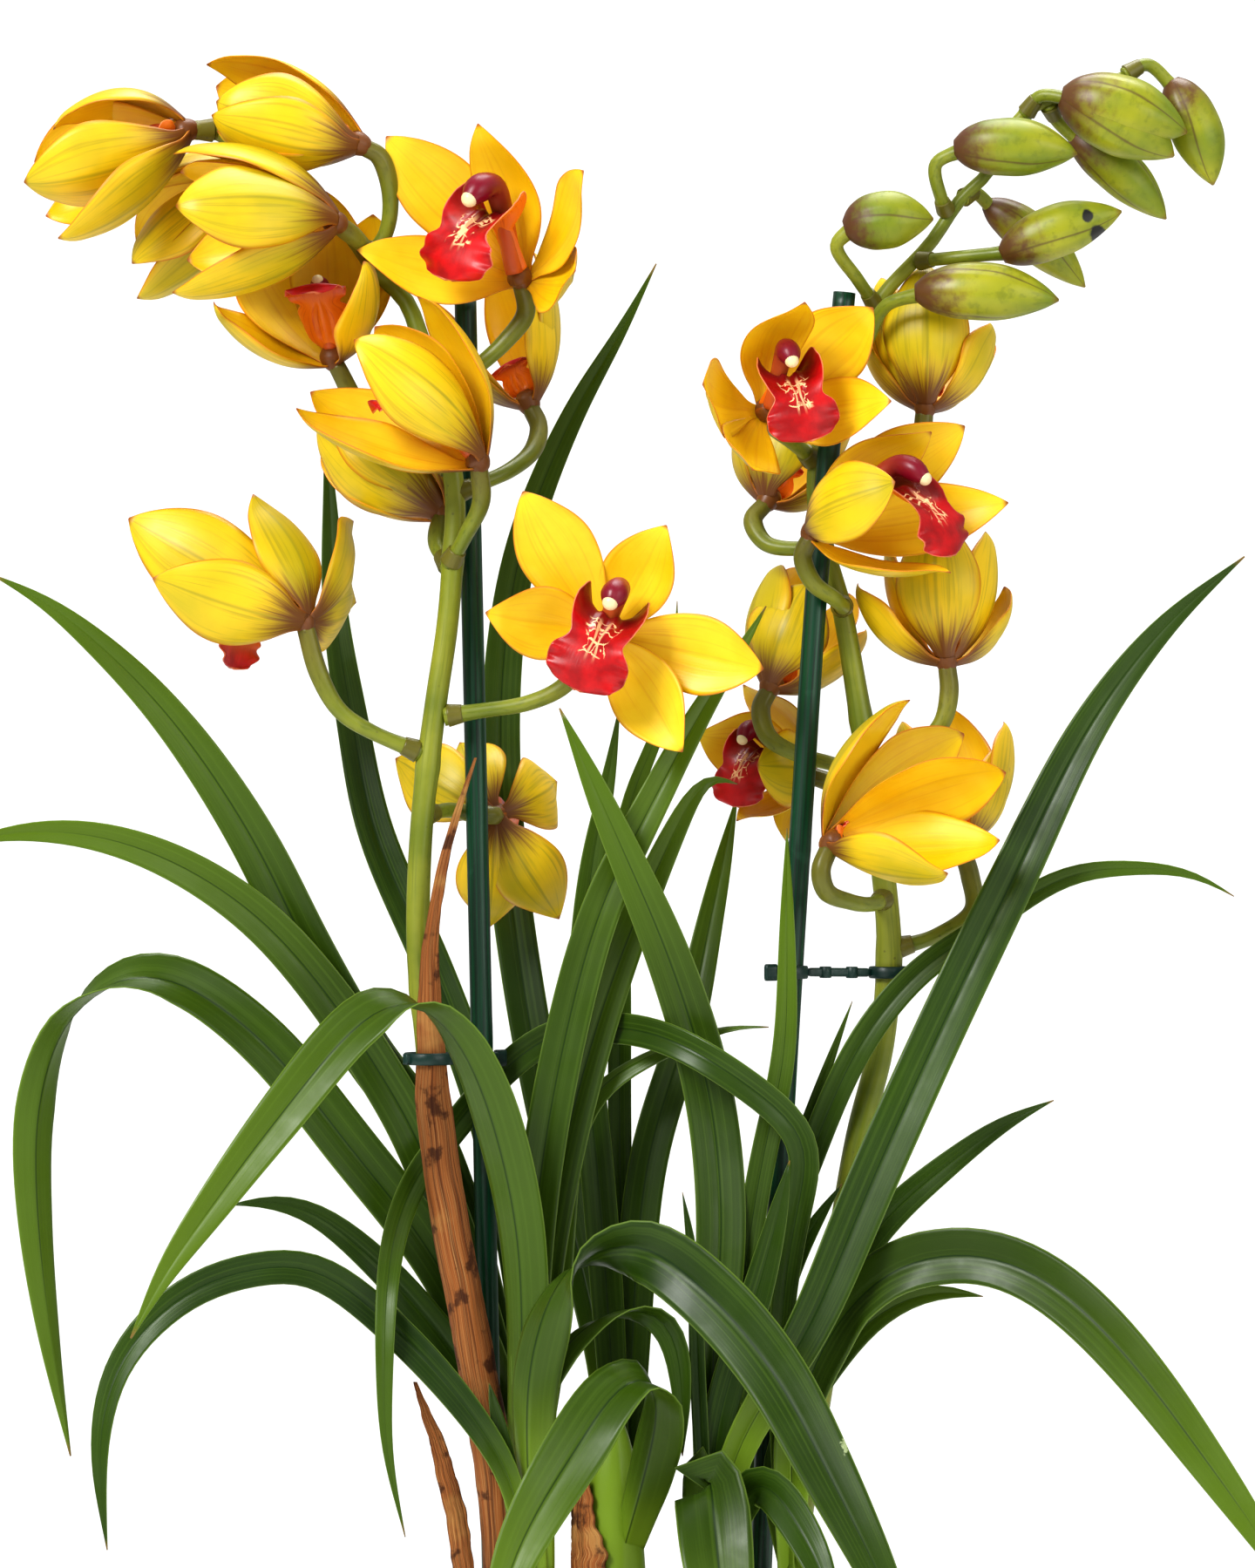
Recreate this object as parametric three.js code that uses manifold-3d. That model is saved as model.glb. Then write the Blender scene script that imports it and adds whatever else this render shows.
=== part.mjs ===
// Potted cymbidium orchid: two flower spikes tied to stakes, strap leaves on their bulbs, a nursery pot.
// Millimetres, +Z up. The origin is the middle of the pot's underside, and the front of the plant looks along -Y.

import * as THREE from "three";
import { mergeVertices } from "three/addons/utils/BufferGeometryUtils.js";
import Module from "manifold-3d";

const wasm = await Module();
wasm.setup();

// Driving dimensions
const potHeight = 158;
const potRimRadius = 92;
const potBaseRadius = 66;
const potWall = 2.4;
const potRimHeight = 14;
const potRimStep = 3.2;
const potFloor = 3;
const potSides = 28;
const drainRadius = 6;
const drainRing = 42;
const drainCount = 5;
const barkTop = 145;
const barkDome = 4;
const stakeRadius = 4.2;
const fitGap = 0.35;
const bladeThickness = 1;
const tepalThickness = 0.9;
const petalWidth = 28;
const sepalWidth = 26;
const bulbSides = 10;
const bulbSink = 12;
const holeRise = 30;
const looseScrap = 2;

// The front view that the routes below are read in: each point is [across, up, depth], as it is seen
// from viewDistance in front of the plant at viewHeight. Depth is positive behind the pot's middle.
const viewDistance = 2400;
const viewHeight = 500;

function place([across, up, depth = 0]) {
  const spread = (viewDistance + depth) / viewDistance;
  return new THREE.Vector3(across * spread, depth, viewHeight + (up - viewHeight) * spread);
}

// Colours
const colour = {
  leaf: 0x3f7a28,
  stem: 0x7f8a2b,
  tepal: 0xf2c516,
  lip: 0xc4141c,
  sheath: 0x9a5a26,
  stake: 0x0f4a30,
  clip: 0x1d4a44,
  pot: 0x26282a,
  bark: 0x5b3a24,
};

// Solids
function solidOf(geometry) {
  const bare = new THREE.BufferGeometry();
  bare.setAttribute("position", geometry.getAttribute("position"));
  bare.setIndex(geometry.index);
  const merged = mergeVertices(bare, 1e-4);
  const corners = [];
  for (let i = 0; i < merged.index.count; i += 3) {
    const [a, b, c] = merged.index.array.slice(i, i + 3);
    if (a !== b && b !== c && c !== a) corners.push(a, b, c);
  }
  return new wasm.Manifold(new wasm.Mesh({
    numProp: 3,
    vertProperties: merged.getAttribute("position").array,
    triVerts: new Uint32Array(corners),
  }));
}

function geometryOf(solid) {
  const mesh = solid.getMesh();
  const geometry = new THREE.BufferGeometry();
  geometry.setAttribute("position", new THREE.BufferAttribute(mesh.vertProperties, 3));
  geometry.setIndex(new THREE.BufferAttribute(mesh.triVerts, 1));
  geometry.computeVertexNormals();
  return geometry;
}

// One body from several. Hollows that joining seals are filled, and scraps under looseScrap are dropped.
function joined(geometries) {
  const pieces = geometries.map(solidOf).reduce((sum, next) => sum.add(next)).decompose();
  pieces.sort((a, b) => b.volume() - a.volume());
  if (pieces.slice(1).some((piece) => piece.volume() > looseScrap)) throw new Error("a piece stands loose");
  return pieces[0];
}

function bufferOf(points, faces) {
  const geometry = new THREE.BufferGeometry().setFromPoints(points);
  geometry.setIndex(faces.flat());
  return geometry;
}

// A closed skin over rings of points, each end closed by a fan.
function loft(rings) {
  const sides = rings[0].length;
  const end = (rings.length - 1) * sides;
  const faces = [];
  for (let first = 0; first < end; first += sides) {
    for (let j = 0; j < sides; j++) {
      const a = first + j;
      const b = first + (j + 1) % sides;
      faces.push([a, b, b + sides], [a, b + sides, a + sides]);
    }
  }
  for (let j = 1; j + 1 < sides; j++) {
    faces.push([0, j + 1, j], [end, end + j, end + j + 1]);
  }
  return bufferOf(rings.flat(), faces);
}

// The faces between two rows of point numbers, which may differ in length.
function strip(row, next) {
  const faces = [];
  let i = 0;
  let j = 0;
  while (i + 1 < row.length || j + 1 < next.length) {
    const rowTurn = j + 1 === next.length
      || (i + 1 < row.length && (i + 1) / (row.length - 1) < (j + 1) / (next.length - 1));
    faces.push(rowTurn ? [row[i], next[j], row[i + 1]] : [row[i], next[j], next[j + 1]]);
    if (rowTurn) i += 1;
    else j += 1;
  }
  return faces;
}

// A thin blade: rows of points across it, thickened both ways along its row's face, or each point's own.
function sheet(rows, thickness) {
  const above = [];
  const below = [];
  const numbers = rows.map(({ points, face, faces: own }) => points.map((point, i) => {
    const way = own ? own[i] : face;
    above.push(point.clone().addScaledVector(way, thickness / 2));
    below.push(point.clone().addScaledVector(way, -thickness / 2));
    return above.length - 1;
  }));
  const count = above.length;
  const faces = [];
  for (let i = 0; i + 1 < numbers.length; i++) {
    for (const [a, b, c] of strip(numbers[i], numbers[i + 1])) {
      faces.push([a, b, c], [a + count, c + count, b + count]);
    }
  }
  const left = numbers.map((row) => row[0]);
  const right = numbers.map((row) => row[row.length - 1]);
  const first = numbers[0];
  const last = numbers[numbers.length - 1];
  const edge = [...left, ...last.slice(1), ...right.slice(0, -1).reverse(), ...first.slice(1, -1).reverse()];
  edge.forEach((p, i) => {
    const q = edge[(i + 1) % edge.length];
    faces.push([q, p, p + count], [q, p + count, q + count]);
  });
  return bufferOf([...above, ...below], faces);
}

// The value at t, from 0 to 1, of a list of values set out evenly along it.
function between(values, t) {
  const at = Math.min(Math.max(t, 0), 1) * (values.length - 1);
  const low = Math.min(Math.floor(at), values.length - 2);
  return THREE.MathUtils.lerp(values[low], values[low + 1], at - low);
}

// A ring of points round a middle, square to its axis and turned so that its first point lies toward a mark.
function ring(middle, axis, mark, radius, sides) {
  const first = mark.clone().addScaledVector(axis, -mark.dot(axis)).normalize();
  const second = axis.clone().cross(first);
  return Array.from({ length: sides }, (_, j) => {
    const turn = j / sides * 2 * Math.PI;
    return middle.clone()
      .addScaledVector(first, radius * Math.cos(turn))
      .addScaledVector(second, radius * Math.sin(turn));
  });
}

// A round stem along a smooth curve through its points, with its radius changing along it.
function stem(points, radii, sides, steps) {
  const curve = new THREE.CatmullRomCurve3(points);
  const { normals } = curve.computeFrenetFrames(steps);
  const rings = normals.map((normal, i) => {
    const share = i / steps;
    return ring(curve.getPointAt(share), curve.getTangentAt(share), normal, between(radii, share), sides);
  });
  return loft(rings);
}

// A turned solid that stands at [x, y], from a profile of [radius, height] that runs from axis to axis.
function turned(profile, sides, [x, y]) {
  const geometry = new THREE.LatheGeometry(profile.map(([r, z]) => new THREE.Vector2(r, z)), sides);
  return geometry.rotateX(Math.PI / 2).translate(x, y, 0);
}


// Leafy shoots: each has a bulb in the bark and strap leaves from it. A leaf's route runs from its base to
// its tip as [across, up, depth, roll]; roll turns the blade about its length, in degrees, 0 is face on.
const shoots = [
  { name: "shoot_left_back", bulb: [-38, 42, 14, 205], leaves: {
    high: { width: 20, route: [
      [-38, 195, 42], [-43, 250, 39], [-77, 367, 39], [-97, 393, 37], [-123, 438, 32], [-140, 473, 26],
      [-157, 501, 20], [-173, 523, 16], [-190, 542, 12], [-223, 570, 6], [-243, 580, 2]] },
    mid: { width: 18, route: [
      [-38, 195, 41], [-43, 248, 34], [-80, 363, 33], [-97, 393, 31], [-113, 417, 28], [-140, 448, 20],
      [-173, 470, 10], [-207, 481, 0], [-240, 481, -10], [-260, 475, -16]] },
    drop: { width: 21, route: [
      [-38, 195, 40], [-45, 254, 29], [-73, 317, 27, 10], [-107, 362, 25, 10], [-140, 402, 18, 15],
      [-173, 425, 8, 30], [-190, 427, 2, 55], [-205, 420, -2, 85], [-217, 407, -5, 120], [-226, 375, -6, 145],
      [-226, 335, -4, 150], [-220, 283, 0, 150], [-213, 243, 2, 150]] },
    small: { width: 13, route: [
      [-38, 195, 40], [-53, 260, 25], [-80, 300, 22], [-107, 327, 20], [-123, 338, 18], [-140, 341, 16],
      [-152, 339, 14]] },
    behind: { width: 15, route: [
      [-39, 195, 43], [-40, 300, 50], [-53, 370, 56], [-73, 427, 64], [-97, 483, 72], [-105, 523, 78],
      [-112, 567, 82], [-114, 613, 84], [-116, 640, 84]] },
  } },
  { name: "shoot_left_front", bulb: [-36, -20, 13, 205], leaves: {
    arch: { width: 22, route: [
      [-37, 195, -20, 140], [-42, 240, -20, 150], [-40, 280, -21, 150], [-42, 330, -24, 145],
      [-53, 377, -33, 140], [-63, 400, -39, 130], [-74, 414, -43, 110], [-86, 418, -46, 75],
      [-100, 411, -50, 30], [-133, 373, -62, 5], [-163, 333, -72, 0], [-177, 313, -76, 0], [-190, 288, -80, 0]] },
    low: { width: 13, route: [
      [-38, 195, -22], [-44, 233, -29], [-52, 248, -28], [-73, 275, -23], [-93, 295, -17], [-107, 307, -16],
      [-123, 316, -18], [-140, 315, -20], [-160, 310, -24], [-180, 297, -28], [-196, 275, -32, 20],
      [-202, 245, -36, 25], [-199, 207, -40, 25]] },
    dark_a: { width: 16, route: [
      [-36, 195, -18], [-38, 280, -13], [-34, 345, -8], [-23, 407, -7], [-10, 453, -9], [8, 490, -8],
      [30, 531, 0], [45, 554, 8], [53, 568, 12]] },
    dark_b: { width: 16, route: [
      [-35, 195, -16], [-35, 290, -6], [-25, 357, 0], [-10, 413, 3], [5, 453, 5], [22, 490, 8],
      [32, 506, 12, 20], [42, 500, 16, 50]] },
    pale_arch: { width: 11, route: [
      [-34, 195, -16], [-28, 290, 0, 150], [-25, 333, 6, 150], [-22, 363, 9, 145], [-10, 385, 10, 140],
      [7, 395, 10, 135], [23, 402, 8, 130], [40, 408, 3, 125], [54, 407, 0, 125]] },
    big_arch: { width: 25, route: [
      [-36, 195, -24, 160], [-38, 267, -32, 150], [-34, 290, -37, 140], [-25, 311, -44, 110],
      [-12, 322, -52, 60], [7, 324, -60, 25], [23, 312, -68, 10], [38, 298, -75, 5], [58, 272, -86, 0],
      [75, 240, -98, 0], [95, 200, -112, 0], [107, 172, -118, 0], [113, 150, -121, 0]] },
    hanging: { width: 13, route: [
      [-35, 195, -24, 150], [-37, 262, -28, 150], [-27, 280, -30, 140], [-13, 295, -32, 110],
      [5, 301, -32, 60], [15, 297, -31, 30], [20, 280, -29, 10], [21, 258, -27, 0], [21, 243, -26, 0]] },
    spear: { width: 7, route: [[-40, 200, -22], [-46, 240, -23], [-53, 271, -18]] },
  } },
  { name: "shoot_middle_back", bulb: [-2, 34, 14, 205], leaves: {
    tall: { width: 16, route: [
      [-3, 195, 36], [-10, 280, 46], [-18, 317, 56], [-36, 400, 76], [-47, 480, 88], [-48, 540, 89],
      [-40, 593, 84], [-20, 643, 76], [-3, 672, 70], [11, 699, 64]] },
    straight: { width: 13, route: [
      [-2, 195, 34], [-7, 293, 30], [-12, 357, 27], [-17, 410, 26], [-14, 467, 24], [-7, 503, 22],
      [-3, 530, 18]] },
    broad: { width: 15, route: [
      [0, 195, 35], [2, 293, 33], [8, 357, 37], [23, 407, 45], [31, 445, 58], [38, 477, 72], [42, 496, 80]] },
    slim: { width: 9, route: [
      [-1, 195, 36], [-2, 300, 40], [-3, 400, 42], [0, 490, 40], [12, 520, 36], [18, 545, 32], [19, 570, 30]] },
  } },
  { name: "shoot_old", bulb: [-6, -14, 14, 268], leaves: {
    front: { width: 24, route: [
      [-2, 205, -20, 170], [3, 222, -34, 165], [10, 248, -47, 150], [13, 266, -55, 120], [8, 276, -60, 70],
      [-5, 268, -69, 30], [-18, 248, -78, 10], [-30, 230, -86, 0], [-45, 200, -96, 0], [-53, 165, -102, 0]] },
  } },
  { name: "shoot_right_front", bulb: [32, -12, 14, 205], leaves: {
    central: { width: 19, route: [
      [31, 195, -13], [33, 287, -14], [36, 333, -10], [31, 383, -3], [16, 433, -8], [-1, 473, -18],
      [-13, 500, -23], [-20, 516, -23], [-26, 529, -22]] },
    upright: { width: 10, route: [
      [33, 195, -12], [43, 300, -10], [51, 353, -9], [60, 397, -9], [61, 440, -9], [61, 483, -8]] },
    great: { width: 19, route: [
      [34, 195, -12], [40, 240, -18], [70, 293, -22], [93, 347, -20], [120, 407, -15], [147, 463, -8],
      [177, 523, 0], [206, 561, 6], [236, 587, 10]] },
    light: { width: 13, route: [[32, 195, -14], [34, 253, -18], [49, 303, -20], [58, 337, -23], [62, 356, -25]] },
    lap: { width: 28, route: [
      [32, 200, -16, 178], [31, 218, -28, 175], [31, 232, -40, 150], [31, 238, -49, 90], [32, 234, -57, 30],
      [33, 220, -65, 5], [35, 200, -76, 0], [38, 172, -88, 0], [40, 150, -96, 0]] },
    small_lap: { width: 15, route: [
      [35, 197, -14], [44, 228, -32], [52, 234, -46], [60, 225, -57], [68, 212, -66], [75, 198, -74],
      [80, 175, -83]] },
    dart: { width: 6, route: [[31, 200, -16], [27, 270, -22], [25, 320, -24], [21, 344, -25]] },
    dark_dart: { width: 6, route: [[35, 200, -10], [42, 300, -2], [46, 335, 0], [48, 349, 0]] },
  } },
  { name: "shoot_right", bulb: [63, -8, 13, 205], leaves: {
    long_arch: { width: 12, route: [
      [61, 195, -8], [58, 262, -3], [60, 307, -3], [65, 338, -9], [69, 360, -17], [64, 370, -21],
      [55, 378, -22], [29, 396, -21], [12, 404, -10], [-9, 407, 12], [-30, 404, 24], [-53, 385, 32],
      [-68, 366, 26], [-80, 351, 13], [-88, 332, -3], [-92, 308, -24], [-93, 275, -32], [-92, 245, -32],
      [-85, 212, -32]] },
    wide_arch: { width: 21, route: [
      [63, 195, -8], [64, 255, -6], [75, 285, -7], [86, 301, -10, -25], [101, 314, -15, -20], [120, 320, -21, 0],
      [140, 319, -28], [160, 310, -36], [180, 293, -46], [200, 270, -56], [220, 243, -66], [240, 215, -76],
      [260, 183, -84]] },
    short: { width: 11, route: [
      [62, 195, -6], [56, 240, 2], [77, 277, 4], [90, 293, 4], [103, 302, 2], [120, 307, 0], [136, 304, -2]] },
  } },
  { name: "shoot_right_back", bulb: [38, 42, 14, 205], leaves: {
    thin: { width: 11, route: [
      [39, 195, 42], [43, 262, 36], [53, 317, 27], [63, 340, 20], [72, 363, 13], [81, 385, 8], [93, 407, 6],
      [113, 430, 8], [133, 443, 10], [153, 457, 12], [170, 466, 12], [193, 468, 12], [217, 466, 10],
      [232, 457, 8]] },
    spear: { width: 7, route: [[39, 195, 41], [50, 290, 30], [63, 352, 19], [77, 393, 14], [86, 417, 12]] },
    outer: { width: 13, route: [
      [40, 195, 43], [56, 258, 44], [80, 307, 42], [98, 333, 36], [127, 358, 28], [145, 371, 22], [163, 379, 18]] },
    dark: { width: 10, route: [
      [39, 195, 40], [49, 268, 35], [58, 303, 27], [66, 322, 19], [74, 336, 13], [82, 347, 9]] },
  } },
];

// The share of a leaf's full width along it, and how far its edges stand above its midrib.
const leafOutline = [0.5, 0.62, 0.8, 0.95, 1, 1, 0.98, 0.9, 0.74, 0.48, 0.07];
const leafFold = [1.1, 0.9, 0.5, 0.34, 0.28, 0.25, 0.25, 0.25, 0.25, 0.25, 0.25];
const keeledWidth = 12;
const leafSamples = 8;

// A leaf has one row of points at each point of its route. Narrow leaves are flat across.
function leaf({ width, route }) {
  const curve = new THREE.CatmullRomCurve3(route.map(place));
  const last = route.length - 1;
  const lengths = curve.getLengths(last * leafSamples);
  const acrossLeaf = width > keeledWidth ? [-1, 0, 1] : [-1, 1];
  const viewer = new THREE.Vector3(0, -viewDistance, viewHeight);
  return sheet(route.map((spot, i) => {
    const share = lengths[i * leafSamples] / lengths.at(-1);
    const middle = place(spot);
    const along = curve.getTangent(i / last);
    const sight = middle.clone().sub(viewer).normalize();
    const roll = THREE.MathUtils.degToRad(spot[3] ?? 0);
    const over = along.clone().cross(sight).normalize().applyAxisAngle(along, roll);
    const face = along.clone().cross(over).normalize();
    const half = width / 2 * between(leafOutline, share);
    const lift = half * between(leafFold, share);
    const points = (i === last ? [0] : acrossLeaf).map((side) => middle.clone()
      .addScaledVector(over, side * half)
      .addScaledVector(face, Math.abs(side) * lift));
    return { points, face };
  }), bladeThickness);
}

// A bulb: a pointed oval that stands in its hole in the bark.
const bulbProfile = [[0, 0], [0.8, 0], [0.95, 0.15], [1, 0.35], [0.86, 0.62], [0.5, 0.88], [0, 1]];

function bulb([x, y, radius, top]) {
  const foot = barkTop - bulbSink;
  const profile = bulbProfile.map(([r, h]) => [r * radius, foot + h * (top - foot)]);
  return turned(profile, bulbSides, [x, y]);
}

// Flower spikes. A stalk's route runs from inside the stem to just behind its bloom.
const spikes = {
  left: {
    stem: [
      [-48, 118, 2], [-48, 213, 0], [-58, 280, 0], [-68, 333, 0], [-74, 377, 0], [-77, 407, 0], [-80, 440, 0],
      [-79, 480, 0], [-76, 510, 0], [-73, 533, 0], [-69, 560, 0], [-67, 583, 0], [-66, 610, 0], [-70, 637, 0],
      [-80, 673, 2], [-85, 685, 3], [-96, 696, 4], [-107, 711, 5], [-127, 732, 6], [-150, 745, 4], [-160, 750, 1]],
    radii: [5.4, 5.4, 5.2, 5, 4.8, 4.4, 4.2, 3.8, 3, 2.4],
    steps: 17,
  },
  right: {
    stem: [
      [58, 118, 25], [63, 200, 25], [75, 280, 24], [88, 363, 22], [97, 400, 22], [100, 433, 20], [99, 455, 18],
      [93, 500, 16], [88, 533, 16], [82, 567, 16], [75, 593, 16], [72, 620, 14], [80, 647, 12], [88, 662, 10],
      [95, 683, 8], [116, 707, 6], [127, 723, 4], [138, 734, 2], [151, 756, 0], [167, 763, 0], [185, 769, 0],
      [191, 771, 0]],
    radii: [5.6, 5.6, 5.4, 5.2, 5, 4.6, 4.2, 3.4, 2.8, 2.4, 2],
    steps: 19,
  },
};

// Buds of the right spike: from base to tip, with their width and the stalk that leads to the base.
const buds = [
  { base: [83, 712, -14], tip: [117, 716, -16], width: 22, stalk: [[95, 683, 8], [88, 693, -3], [80, 706, -12]] },
  { base: [125, 743, -12], tip: [172, 741, -18], width: 22, stalk: [[122, 719, 4], [120, 724, -3], [118, 737, -9]] },
  { base: [166, 763, -8], tip: [214, 749, -12], width: 25, stalk: [[152, 756, 0], [158, 763, -4]] },
  { base: [208, 769, 3], tip: [224, 729, 3], width: 20, stalk: [[190, 771, 0], [199, 775, 2]] },
  { base: [170, 748, 10], tip: [206, 716, 14], width: 18, stalk: [[161, 760, 0], [164, 754, 6]] },
  { base: [137, 722, 14], tip: [175, 690, 18], width: 17, stalk: [[128, 724, 4], [133, 726, 9]] },
  { base: [143, 702, -9], tip: [189, 719, -14], width: 20, stalk: [[111, 700, 6], [122, 701, -3]] },
  { base: [110, 688, -16], tip: [165, 685, -22], width: 22, stalk: [[88, 662, 9], [92, 670, 0], [99, 683, -9]] },
];

// Blooms. The heart is where the tepals meet, facing the way it looks and up the side of the top sepal,
// both as [across, up, depth]. Each tepal has its tip as [across, up], how far it leans in depth from -1,
// toward the front, to 1, and its length. Stalks lead from the stem to the heart.
const blooms = [
  { name: "l01", heart: [-169, 750, -2], facing: [-0.95, -0.25, -0.1], up: [-0.2, 1, 0], lip: 0.6, droop: 0.3,
    stalk: [[-158, 750, 2]],
    top: [-221, 752, -0.1, 62, 13], petals: [[-231, 729, -0.8, 68], [-227, 738, 0.8, 64]],
    sepals: [[-217, 707, -0.9, 69], [-222, 716, 0.9, 68]] },
  { name: "l02", heart: [-103, 745, -10], facing: [-0.95, 0.3, 0], up: [0.3, 0.95, 0], lip: 0.6, droop: 0.3,
    stalk: [[-99, 700, 4], [-92, 712, 2], [-91, 728, -3], [-95, 740, -7]],
    top: [-161, 777, 0.3, 70, 11], petals: [[-158, 761, -0.4, 66], [-157, 767, 0.9, 66]],
    sepals: [[-160, 755, -0.4, 66, 9], [-158, 748, 0.1, 66]] },
  { name: "l03", heart: [-112, 715, -25], facing: [-1, -0.15, 0], up: [-0.15, 1, 0], lip: 0.6, droop: 0.3,
    stalk: [[-99, 703, 2], [-103, 708, -14]],
    top: [-174, 743, -0.1, 70, 12], petals: [[-173, 722, -0.9, 70, 10], [-171, 736, 0.6, 66]],
    sepals: [[-174, 686, -0.5, 70], [-168, 700, 0.9, 68]] },
  { name: "l04", heart: [-140, 731, 30], facing: [-0.75, -0.65, 0], up: [-0.6, 0.75, 0], lip: 0.65, droop: 0.4,
    stalk: [[-126, 731, 6], [-131, 733, 17]],
    top: [-196, 722, 0.1, 60, 12], petals: [[-191, 700, -0.3, 66], [-188, 708, 0.9, 66]],
    sepals: [[-187, 684, -0.2, 69], [-178, 688, 0.8, 68]] },
  { name: "l05", heart: [-113, 663, 6], facing: [-0.15, 0.85, -0.4], up: [0.1, 0.4, 0.9], lip: 0.75, droop: 0.5,
    stalk: [[-68, 621, 2], [-85, 630, 6], [-101, 642, 8]],
    top: [-115, 727, 0.5, 68], petals: [[-148, 708, 0.5, 64], [-96, 718, 0.4, 64]],
    sepals: [[-160, 683, -0.5, 64], [-99, 700, -0.6, 60]] },
  { name: "l06", heart: [-41, 694, -9], facing: [-0.55, 0.4, -0.7], up: [0.2, 0.9, 0.35], lip: 1,
    stalk: [[-71, 645, 0], [-60, 657, -1], [-47, 669, -2], [-39, 680, -2]],
    top: [-58, 751, -0.4, 70], petals: [[-92, 747, 0, 76], [-19, 734, -0.75, 66]],
    sepals: [[-102, 705, -0.35, 68], [-22, 697, -0.8, 52]] },
  { name: "l07", heart: [-57, 624, -23], facing: [-0.75, 0.55, -0.25], up: [0.5, 0.8, 0], lip: 0.7, droop: 0.35,
    stalk: [[-68, 584, -1], [-62, 595, -9], [-56, 608, -17]],
    top: [-79, 688, -0.1, 70, 11], petals: [[-104, 671, -0.9, 74, 10], [-96, 676, 0.25, 72]],
    sepals: [[-128, 642, -0.3, 76], [-122, 649, 0.5, 74]] },
  { name: "l08", heart: [-38, 646, 32], facing: [-0.4, 0.85, 0.2], up: [0.3, 0, 0.9], lip: 0.6, droop: 0.3,
    stalk: [[-66, 611, 1], [-56, 615, 2], [-45, 620, 8], [-36, 628, 20], [-34, 637, 28]],
    top: [-52, 702, 0.8, 66], petals: [[-80, 688, 0.5, 64], [-34, 704, 0.6, 64]],
    sepals: [[-72, 676, 0.25, 62], [-36, 695, 0.1, 62]] },
  { name: "l09", heart: [-71, 604, 20], facing: [-0.75, 0.6, 0.3], up: [0.4, 0.6, 0.5], lip: 0.6, droop: 0.3,
    stalk: [[-68, 583, 2], [-73, 592, 12]],
    top: [-92, 662, 0.6, 66], petals: [[-112, 648, 0.25, 64], [-98, 660, 0.9, 66]],
    sepals: [[-120, 637, 0.15, 64], [-118, 626, 0.7, 64]] },
  { name: "l10", heart: [-124, 563, -6], facing: [-0.75, 0.4, 0.45], up: [0.3, 0.95, 0], lip: 0.8,
    stalk: [[-79, 512, 0], [-98, 520, -3], [-110, 528, -5], [-118, 542, -4]],
    top: [-144, 609, 0.1, 64, 8], petals: [[-190, 601, -0.1, 78], [-107, 600, 0.8, 60]],
    sepals: [[-181, 579, -0.6, 70], [-106, 570, 0.7, 60, 5]] },
  { name: "l11", heart: [-9, 557, -23], facing: [-0.2, -0.1, -0.95], up: [0.45, 0.9, 0], lip: 1,
    stalk: [[-70, 526, 0], [-56, 528, -1], [-38, 531, -2], [-25, 537, -3], [-14, 550, -7]],
    top: [14, 598, -0.35, 62, 4], petals: [[-40, 611, -0.3, 68, 4], [51, 544, -0.4, 68, 4]],
    sepals: [[-53, 565, -0.35, 62, 4], [20, 513, -0.4, 62, 4]] },
  { name: "l12", heart: [-50, 488, 36], facing: [0, 0.1, 1], up: [-0.1, 1, 0], lip: 0.7,
    stalk: [[-78, 488, 2], [-69, 490, 14], [-61, 489, 24.5], [-52, 488, 26]],
    top: [-63, 514, 0.7, 50], petals: [[-87, 509, 0.6, 52], [-29, 500, 0.7, 50]],
    sepals: [[-53, 447, 0.6, 54], [-27, 450, 0.6, 54]] },
  { name: "r01", heart: [53, 643, -22], facing: [0.4, 0.25, -0.85], up: [0.2, 0.95, 0.2], lip: 1,
    stalk: [[71, 624, 12], [63, 631, -2], [56, 637, -13]],
    top: [68, 682, -0.75, 62, 12], petals: [[93, 681, -0.5, 62], [31, 653, -0.8, 56]],
    sepals: [[99, 647, -0.6, 58], [49, 622, -0.8, 56]] },
  { name: "r02", heart: [114, 645, 14], facing: [0, 0.95, 0.35], up: [0, -0.3, -0.95], lip: 0.6, droop: 0.3,
    stalk: [[77, 606, 16], [90, 611, 15], [104, 619, 14], [112, 631, 14]],
    top: [114, 700, -0.15, 62, 13], petals: [[141, 676, 0.2, 60], [95, 694, 0.35, 64]],
    sepals: [[89, 682, 0.6, 62], [136, 672, 0.8, 60]] },
  { name: "r03", heart: [71, 597, -16], facing: [0.8, 0.25, -0.5], up: [-0.15, 0.95, 0.2], lip: 0.95,
    stalk: [[82, 568, 14], [82, 568, 3], [79, 571, -8], [71, 577, -13], [67, 587, -14]],
    top: [116, 633, -0.2, 66, 9], petals: [[129, 636, 0.25, 78], [103, 615, -0.85, 62, 10]],
    sepals: [[123, 583, -0.6, 70], [145, 608, 0.2, 80]] },
  { name: "r04", heart: [122, 548, 8], facing: [0, 0.95, 0.3], up: [0, -0.3, -0.95], lip: 0.6, droop: 0.3,
    stalk: [[94, 507, 15], [109, 513, 11], [120, 523, 8], [123, 535, 8]],
    top: [118, 604, -0.1, 62, 13], petals: [[139, 597, 0.3, 62], [99, 593, 0.5, 64]],
    sepals: [[86, 576, 0.3, 62], [146, 575, 0.5, 56]] },
  { name: "r05", heart: [54, 609, 32], facing: [0.35, 0.8, 0.45], up: [-0.2, -0.4, 0.9], lip: 0.6, droop: 0.3,
    stalk: [[75, 592, 17], [65, 590, 18], [53, 592, 22], [48, 601, 28]],
    top: [63, 655, 0.9, 62], petals: [[85, 641, 0.7, 62], [46, 645, 0.6, 60]],
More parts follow.
